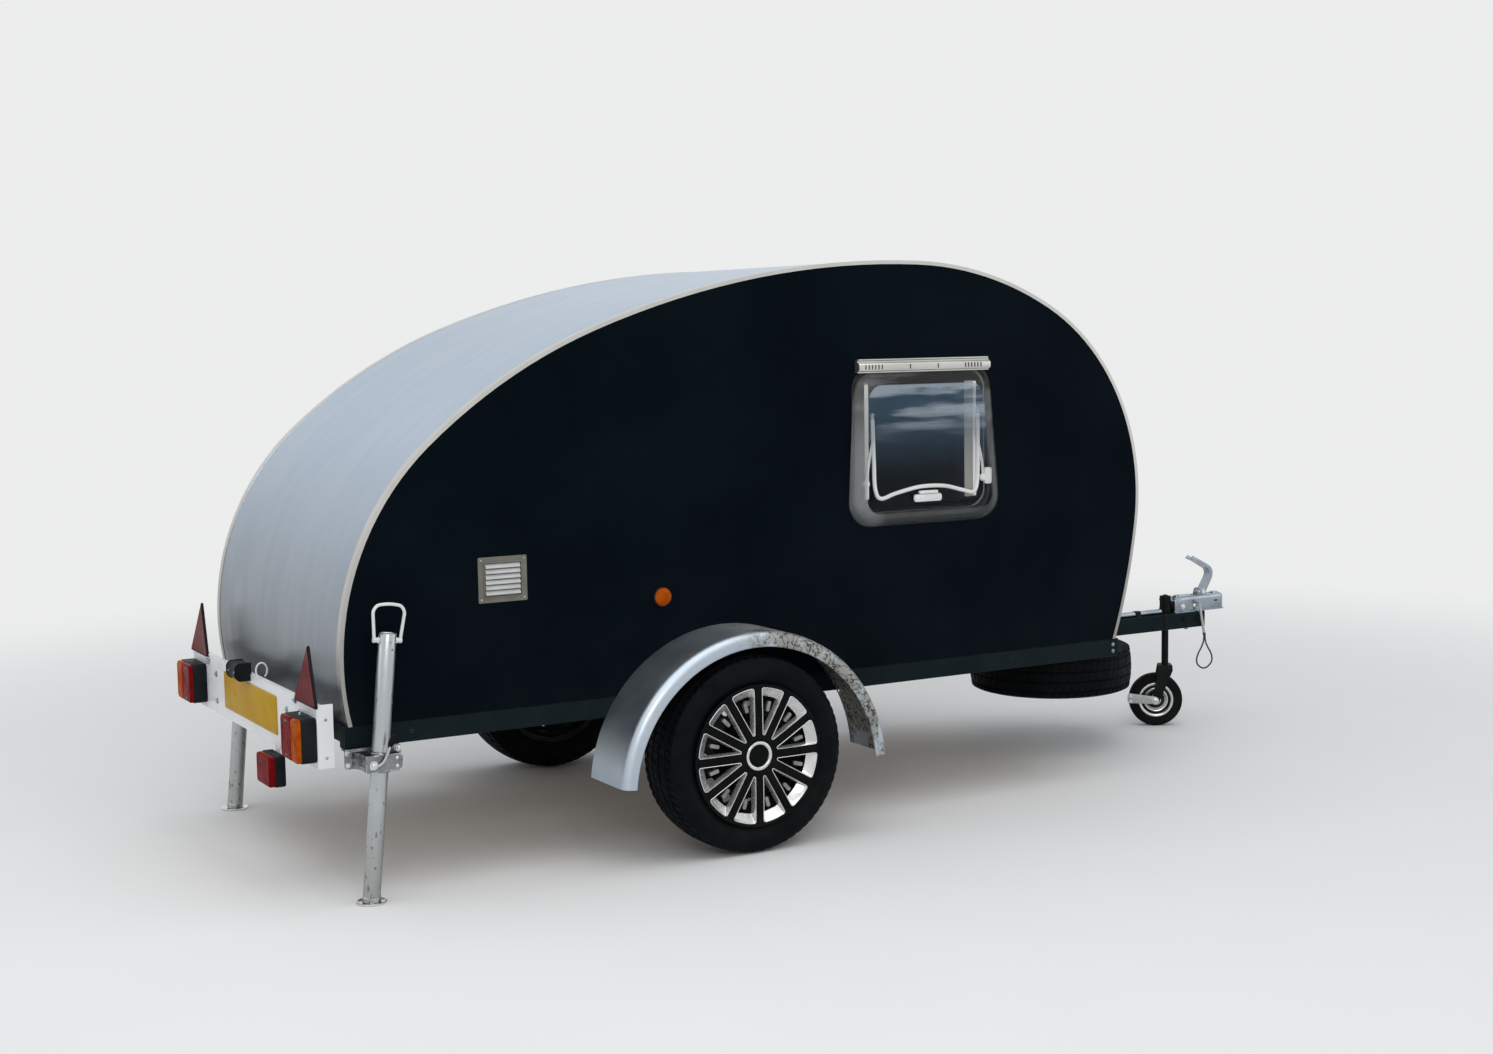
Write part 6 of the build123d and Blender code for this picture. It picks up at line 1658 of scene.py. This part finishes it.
def makeJockeyPost(shape=jockeyShape):
    r, low, top = shape["post"], shape["postLow"], shape["postTop"]
    post = [turned([(0.0, r - 0.001), (0.001, r), (0.016, r), (0.0175, r - 0.0008), (0.019, r),
        (top - low - 0.006, r), (top - low - 0.004, r - 0.001), (top - low - 0.002, r - 0.004),
        (top - low, r - 0.007)], (shape["x"], 0, low), (0, 0, 1), 0, 40)]
    makePiece("jockey_post", post, ["darkPaint"], "jockey_tube", ["jockey_stem"])
    # Clamp: block with pinch slot and cross bolts
    x, wide, high = shape["x"], 0.032, 0.066
    line = roundRect(wide, wide, 0.004, 6)
    hole = disc(r + 0.0004, len(line))
    nearest = np.argmin(np.linalg.norm(unit(hole) - unit(line[0]), axis=1))
    hole = np.roll(hole, -nearest, 0)
    levels = [(inset(line, 0.0014), 0.0), (line, 0.0014), (line, high * 0.47),
        (inset(line, 0.0008), high * 0.48), (inset(line, 0.0008), high * 0.52), (line, high * 0.53),
        (line, high - 0.0014), (inset(line, 0.0014), high)]
    rings = levelled([*levels, (hole, high), (hole, 0.0)])
    parts = [skin(placed(rings, (x, 0, 0.43)), 0, wrap=True)]
    for z in (0.446, 0.48):
        for side in (-1, 1):
            parts += hexBolt((x - 0.004, side * (wide / 2 - 0.0003), z), (0, side, 0), 0.012, 0.0065, 0.009,
                0)
    makePiece("jockey_block", parts, ["darkPaint"], "chassis", ["jockey_clamp"])


makeJockeyWheel()
makeJockeyFork()
makeJockeyPost()
print("jockey wheel made")

# Safety cable and its sleeve
cableShape = {
    "top": (1.795, -0.048, 0.334), "radius": 0.0031,
    "sleeveHead": (1.765, -0.048, 0.474), "sleeveRadius": 0.005,
    # millimetres forwards and upwards from the top
    "route": [(-2.5, 0), (-3, -20), (-16, -44), (-38, -74), (-40, -106), (0, -130),
        (40, -106), (38, -74), (16, -44), (3, -20), (2.5, 0)],
}


def routeLine(name, points):
    # Reads the line that Blender gives for an open NURBS spline through these control points
    data = bpy.data.curves.new(name, "CURVE")
    data.dimensions = "3D"
    data.resolution_u = 24
    spline = data.splines.new("NURBS")
    spline.points.add(len(points) - 1)
    spline.points.foreach_set("co", np.column_stack([points, np.ones(len(points))]).ravel())
    spline.order_u = 3
    spline.use_endpoint_u = True
    holder = bpy.data.objects.new(name, data)
    mesh = bpy.data.meshes.new_from_object(holder)
    line = np.empty(3 * len(mesh.vertices))
    mesh.vertices.foreach_get("co", line)
    bpy.data.objects.remove(holder)
    return line.reshape(-1, 3)


def strandSection(radius, strands=7, steps=42):
    # Scalloped round: the radius dips between strands
    angle = np.arange(steps) * 2 * pi / steps
    far = radius * (0.93 + 0.07 * np.abs(np.cos(angle * strands / 2)))
    return np.stack([far * np.cos(angle), far * np.sin(angle)], -1)


def twisted(path, radius, turns, finish=0):
    # Strand section turned steadily as it goes along the path
    section = strandSection(radius)
    ahead = unit(np.gradient(path, axis=0))
    first = unit(np.cross(ahead, (0, 1, 0)))
    second = np.cross(ahead, first)
    angle = np.linspace(0, turns * 2 * pi, len(path))[:, None]
    c, s = np.cos(angle), np.sin(angle)
    a = section[None, :, 0] * c - section[None, :, 1] * s
    b = section[None, :, 0] * s + section[None, :, 1] * c
    return skin(path[:, None] + a[..., None] * first[:, None] + b[..., None] * second[:, None], finish)


def makeCable(shape=cableShape):
    top = np.array(shape["top"])
    route = np.array([(a, 0.0, b) for a, b in shape["route"]]) / 1000 + top
    line = routeLine("cableRoute", route)
    loop = makePiece("cable_loop", [twisted(line, shape["radius"], 26)], ["cableBlack"], "chassis",
        ["safety_cable"])
    head, r = np.array(shape["sleeveHead"]), shape["sleeveRadius"]
    foot = top + np.array([0, 0, 0.0012])
    reach = np.linalg.norm(head - foot)
    sleeve = [turned([(0.0, r - 0.0008), (0.0008, r), (0.004, r), (reach - 0.01, r),
        (reach - 0.003, r * 0.96), (reach, r * 0.8)], foot, head - foot, 0, 28)]
    # The eye that folds over the coupling's side bolt
    peg = (head[0], -0.032, head[2] - 0.01)
    sleeve.append(turned([(0.0, r), (0.011, r), (0.015, r * 0.7)], peg, (0, -1, 0), 1, 24))
    ferrule = turned([(-0.0002, r * 0.96), (0.001, r + 0.0006), (0.012, r + 0.0006), (0.0132, r * 0.96)],
        foot, head - foot, 0, 24)
    makePiece("cable_cover", sleeve, ["sleevePlastic", "zincPlate"], "chassis", ["cable_sleeve"])
    grommet = makePiece("cable_grommet", [ferrule], ["cableBlack"], "chassis")
    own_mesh(loop)


makeCable()
print("safety cable made")

# Drawbar fittings: bright tube on the bar's upper edge, strap, end cap and bolts
drawbarFit = {"half": 0.04, "low": 0.37, "high": 0.43, "front": 1.803}


def makeDrawbarFittings(shape=drawbarFit):
    parts = []
    # Mill-finish tube lying along the drawbar's near upper edge, in two saddles
    run = np.stack([np.linspace(1.01, 1.6, 30), np.full(30, -0.016), np.full(30, 0.44)], -1)
    parts.append(tube(run, 0.01, (0, 1, 0), 0, 24))
    for x in (1.06, 1.485):
        saddle = bentLine([(-0.018, 0.0), (-0.018, 0.0026), (-0.0122, 0.003), (-0.0118, 0.0212),
            (0.0118, 0.0212), (0.0122, 0.003), (0.018, 0.0026), (0.018, 0.0)], 0.005, 5)
        parts.append(plate(saddle[::-1], -0.012, 0.012, 0.0008, 1,
            **crossFrame((x, -0.016, shape["high"] - 0.0003))))
    # Strap round the bar behind the jockey block
    w = shape["half"] + 0.0016
    outer = roundRect(2 * w, 0.0632, 0.007, 6)
    inner = roundRect(2 * shape["half"] - 0.0006, 0.0594, 0.0055, 6)
    parts.append(band(outer, inner, -0.006, 0.006, 2, **crossFrame((1.606, 0, 0.4))))
    # Bolts of the coupling through the bar, and one under it near the front
    for x in (1.7, 1.762):
        for side in (-1, 1):
            parts += hexBolt((x, side * (shape["half"] - 0.0003), 0.404), (0, side, 0), 0.013, 0.007, 0.01, 2)
    parts += hexBolt((1.742, -0.004, shape["low"] + 0.0003), (0, 0, -1), 0.013, 0.01, 0.011, 3)
    # End cap at the front of the bar
    cap = roundRect(2 * shape["half"] - 0.004, 0.056, 0.006, 6)
    parts.append(plate(cap, -0.0001, 0.0022, 0.0009, 1, **crossFrame((shape["front"], 0, 0.4))))
    makePiece("drawbar_fittings", parts, ["zincPlate", "blackPlastic", "darkPaint", "zincPlate"], "chassis")
    # Bolts where the bar and the cross members meet the rails
    rails = []
    for side in (-1, 1):
        face = side * bodyLine["halfWidth"]
        for x, z in ((-1.6, 0.444), (-0.88, 0.444), (-0.36, 0.444), (0.46, 0.444), (0.884, 0.455),
                (0.884, 0.433)):
            rails += hexBolt((x, face - side * 0.0003, z), (0, side, 0), 0.008, 0.0044, 0.0065,
                0 if x < 0.8 else 1)
    makePiece("rail_bolts", rails, ["chassisPaint", "zincPlate"], "chassis")


makeDrawbarFittings()
print("drawbar dressed")

# Mattress: crowned pad with piped edges and sewn channels
mattressShape = {"rear": -1.02, "front": 0.86, "half": 0.553, "low": 0.4943, "high": 0.5843, "corner": 0.05,
    "puff": 0.013, "channels": 6}


def makeMattress(shape=mattressShape):
    # Plan outline drawn in ring by ring; height follows a half super-ellipse and dips along the sewn channels
    long, wide = shape["front"] - shape["rear"], 2 * shape["half"]
    middle = ((shape["rear"] + shape["front"]) / 2, 0.0, (shape["low"] + shape["high"]) / 2)
    line = roundRect(long, wide, shape["corner"], 14)
    sides = np.roll(line, -1, 0) - line
    rows = [line[:1]]
    for start, side in zip(line, sides):
        count = max(int(np.linalg.norm(side) / 0.03), 1)
        rows.append(start + side * np.linspace(0, 1, count + 1)[1:, None])
    line = np.concatenate(rows)[:-1]
    half = (shape["high"] - shape["low"]) / 2
    draws = [0.0075, 0.0025, 0.0, 0.0025, 0.0075, 0.012, 0.02, 0.032, 0.048, 0.07, 0.1, 0.14, 0.19, 0.25,
        0.32, 0.4, 0.47, 0.54]
    lifts = np.concatenate([half - shape["puff"] + np.array([-0.006, -0.003, 0.0, 0.003, 0.006]),
        half - shape["puff"] * (1 - np.sin(np.linspace(0.15, 1, 13) * pi / 2))])
    upper = []
    for draw, lift in zip(draws, lifts):
        share = 1 - draw / shape["half"]
        flat = np.stack([line[:, 0] - np.sign(line[:, 0]) * np.minimum(draw, np.abs(line[:, 0])),
            line[:, 1] * share], -1)
        phase = ((flat[:, 0] / long + 0.5) * shape["channels"] + 0.5) % 1.0
        sewn = np.abs(phase - 0.5) * long / shape["channels"]
        dip = 0.008 * np.exp(-(sewn / 0.012) ** 2) * (draw > 0.015) * (np.abs(flat[:, 0]) < long / 2 - 0.03)
        upper.append(np.column_stack([flat, np.full(len(line), lift) - dip]))
    under = [np.column_stack([ring[:, :2], -ring[:, 2] * 0.98 - 0.0004]) for ring in upper]
    rings = np.array(under[::-1] + [np.column_stack([line, np.zeros(len(line))])] + upper)
    pad = [skin(rings + np.array(middle), 0)]
    # Piping: a cord sewn round the top and bottom edges
    for level in (-1, 1):
        edge = np.column_stack([inset(line, 0.002),
            np.full(len(line), level * (half - shape["puff"]))]) + np.array(middle)
        pad.append(tube(edge, 0.0035, (0, 0, 1), 1, 8, wrap=True))
    piece = makePiece("mattress_pad", pad, ["mattressCloth", "coverCloth"], "chassis",
        ["mattress"], sharp=60)


makeMattress()
print("mattress made")

# Door: edge strip, window seal, hinge screws and lock barrel
doorShape = {
    "x": 0.09, "z": 0.97, "skin": 0.5893, "width": 0.644, "height": 0.924, "corner": 0.102, "strip": 0.011,
    "windowZ": 1.19, "windowWide": 0.41, "windowHigh": 0.38, "windowCorner": 0.07,
    "hingeX": 0.413, "hingeZ": (0.69, 1.25), "leafFace": 0.5898, "lock": (-0.165, 0.893),
}


def makeDoorFittings(shape=doorShape):
    # Local x runs forwards, local y up, height outwards from the door's skin
    skinFrame = wallFrame((shape["x"], shape["skin"], shape["z"]), 1)
    strip = shape["strip"]
    outline = roundRect(shape["width"] - 0.001, shape["height"] - 0.001, shape["corner"])
    levels = [(0.0, -0.0002), (0.0, 0.0008), (0.0008, 0.0018), (strip - 0.0008, 0.0018), (strip, 0.0008),
        (strip, -0.0002)]
    edge = [skin(placed(drawnIn(outline, levels), **skinFrame), 0, wrap=True)]
    sealLine = roundRect(shape["windowWide"] + 0.034, shape["windowHigh"] + 0.034,
        shape["windowCorner"] + 0.017)
    levels = [(0.0, -0.0002), (0.0, 0.002), (0.002, 0.0042), (0.012, 0.0052), (0.0162, 0.0052),
        (0.0164, -0.0002)]
    windowFrame = wallFrame((shape["x"], shape["skin"], shape["windowZ"]), 1)
    edge.append(skin(placed(drawnIn(sealLine, levels), **windowFrame), 1, wrap=True))
    for level in shape["hingeZ"]:
        for back in (0.02, 0.036):
            edge.append(domeScrew((shape["hingeX"] - back, shape["skin"] + 0.0023, level), (0, 1, 0), 0.0042,
                0.0018, 2))
    lockX, lockZ = shape["lock"]
    lock = wallFrame((lockX, shape["skin"] + 0.0098, lockZ), 1)
    edge.append(turned([(0.0, 0.0105), (0.002, 0.0105), (0.0032, 0.0092), (0.0034, 0.007), (0.0026, 0.0066),
        (0.0028, 0.0004)], lock["origin"], (0, 1, 0), 2, 32))
    edge.append(plate(roundRect(0.0022, 0.0086, 0.0009, 3), 0.0, 0.0034, 0.0002, 1, **lock))
    makePiece("door_dressing", edge, ["trimAlloy", "sealRubber", "polishedSteel"], "door")
    fixed = []
    for level in shape["hingeZ"]:
        for rise in (-0.022, 0.0, 0.022):
            spot = (shape["hingeX"] + 0.026, shape["leafFace"], level + rise)
            fixed.append(domeScrew(spot, (0, 1, 0), 0.0042, 0.0018, 0))
    makePiece("hinge_screws", fixed, ["polishedSteel"], "chassis")


makeDoorFittings()
print("door dressed")
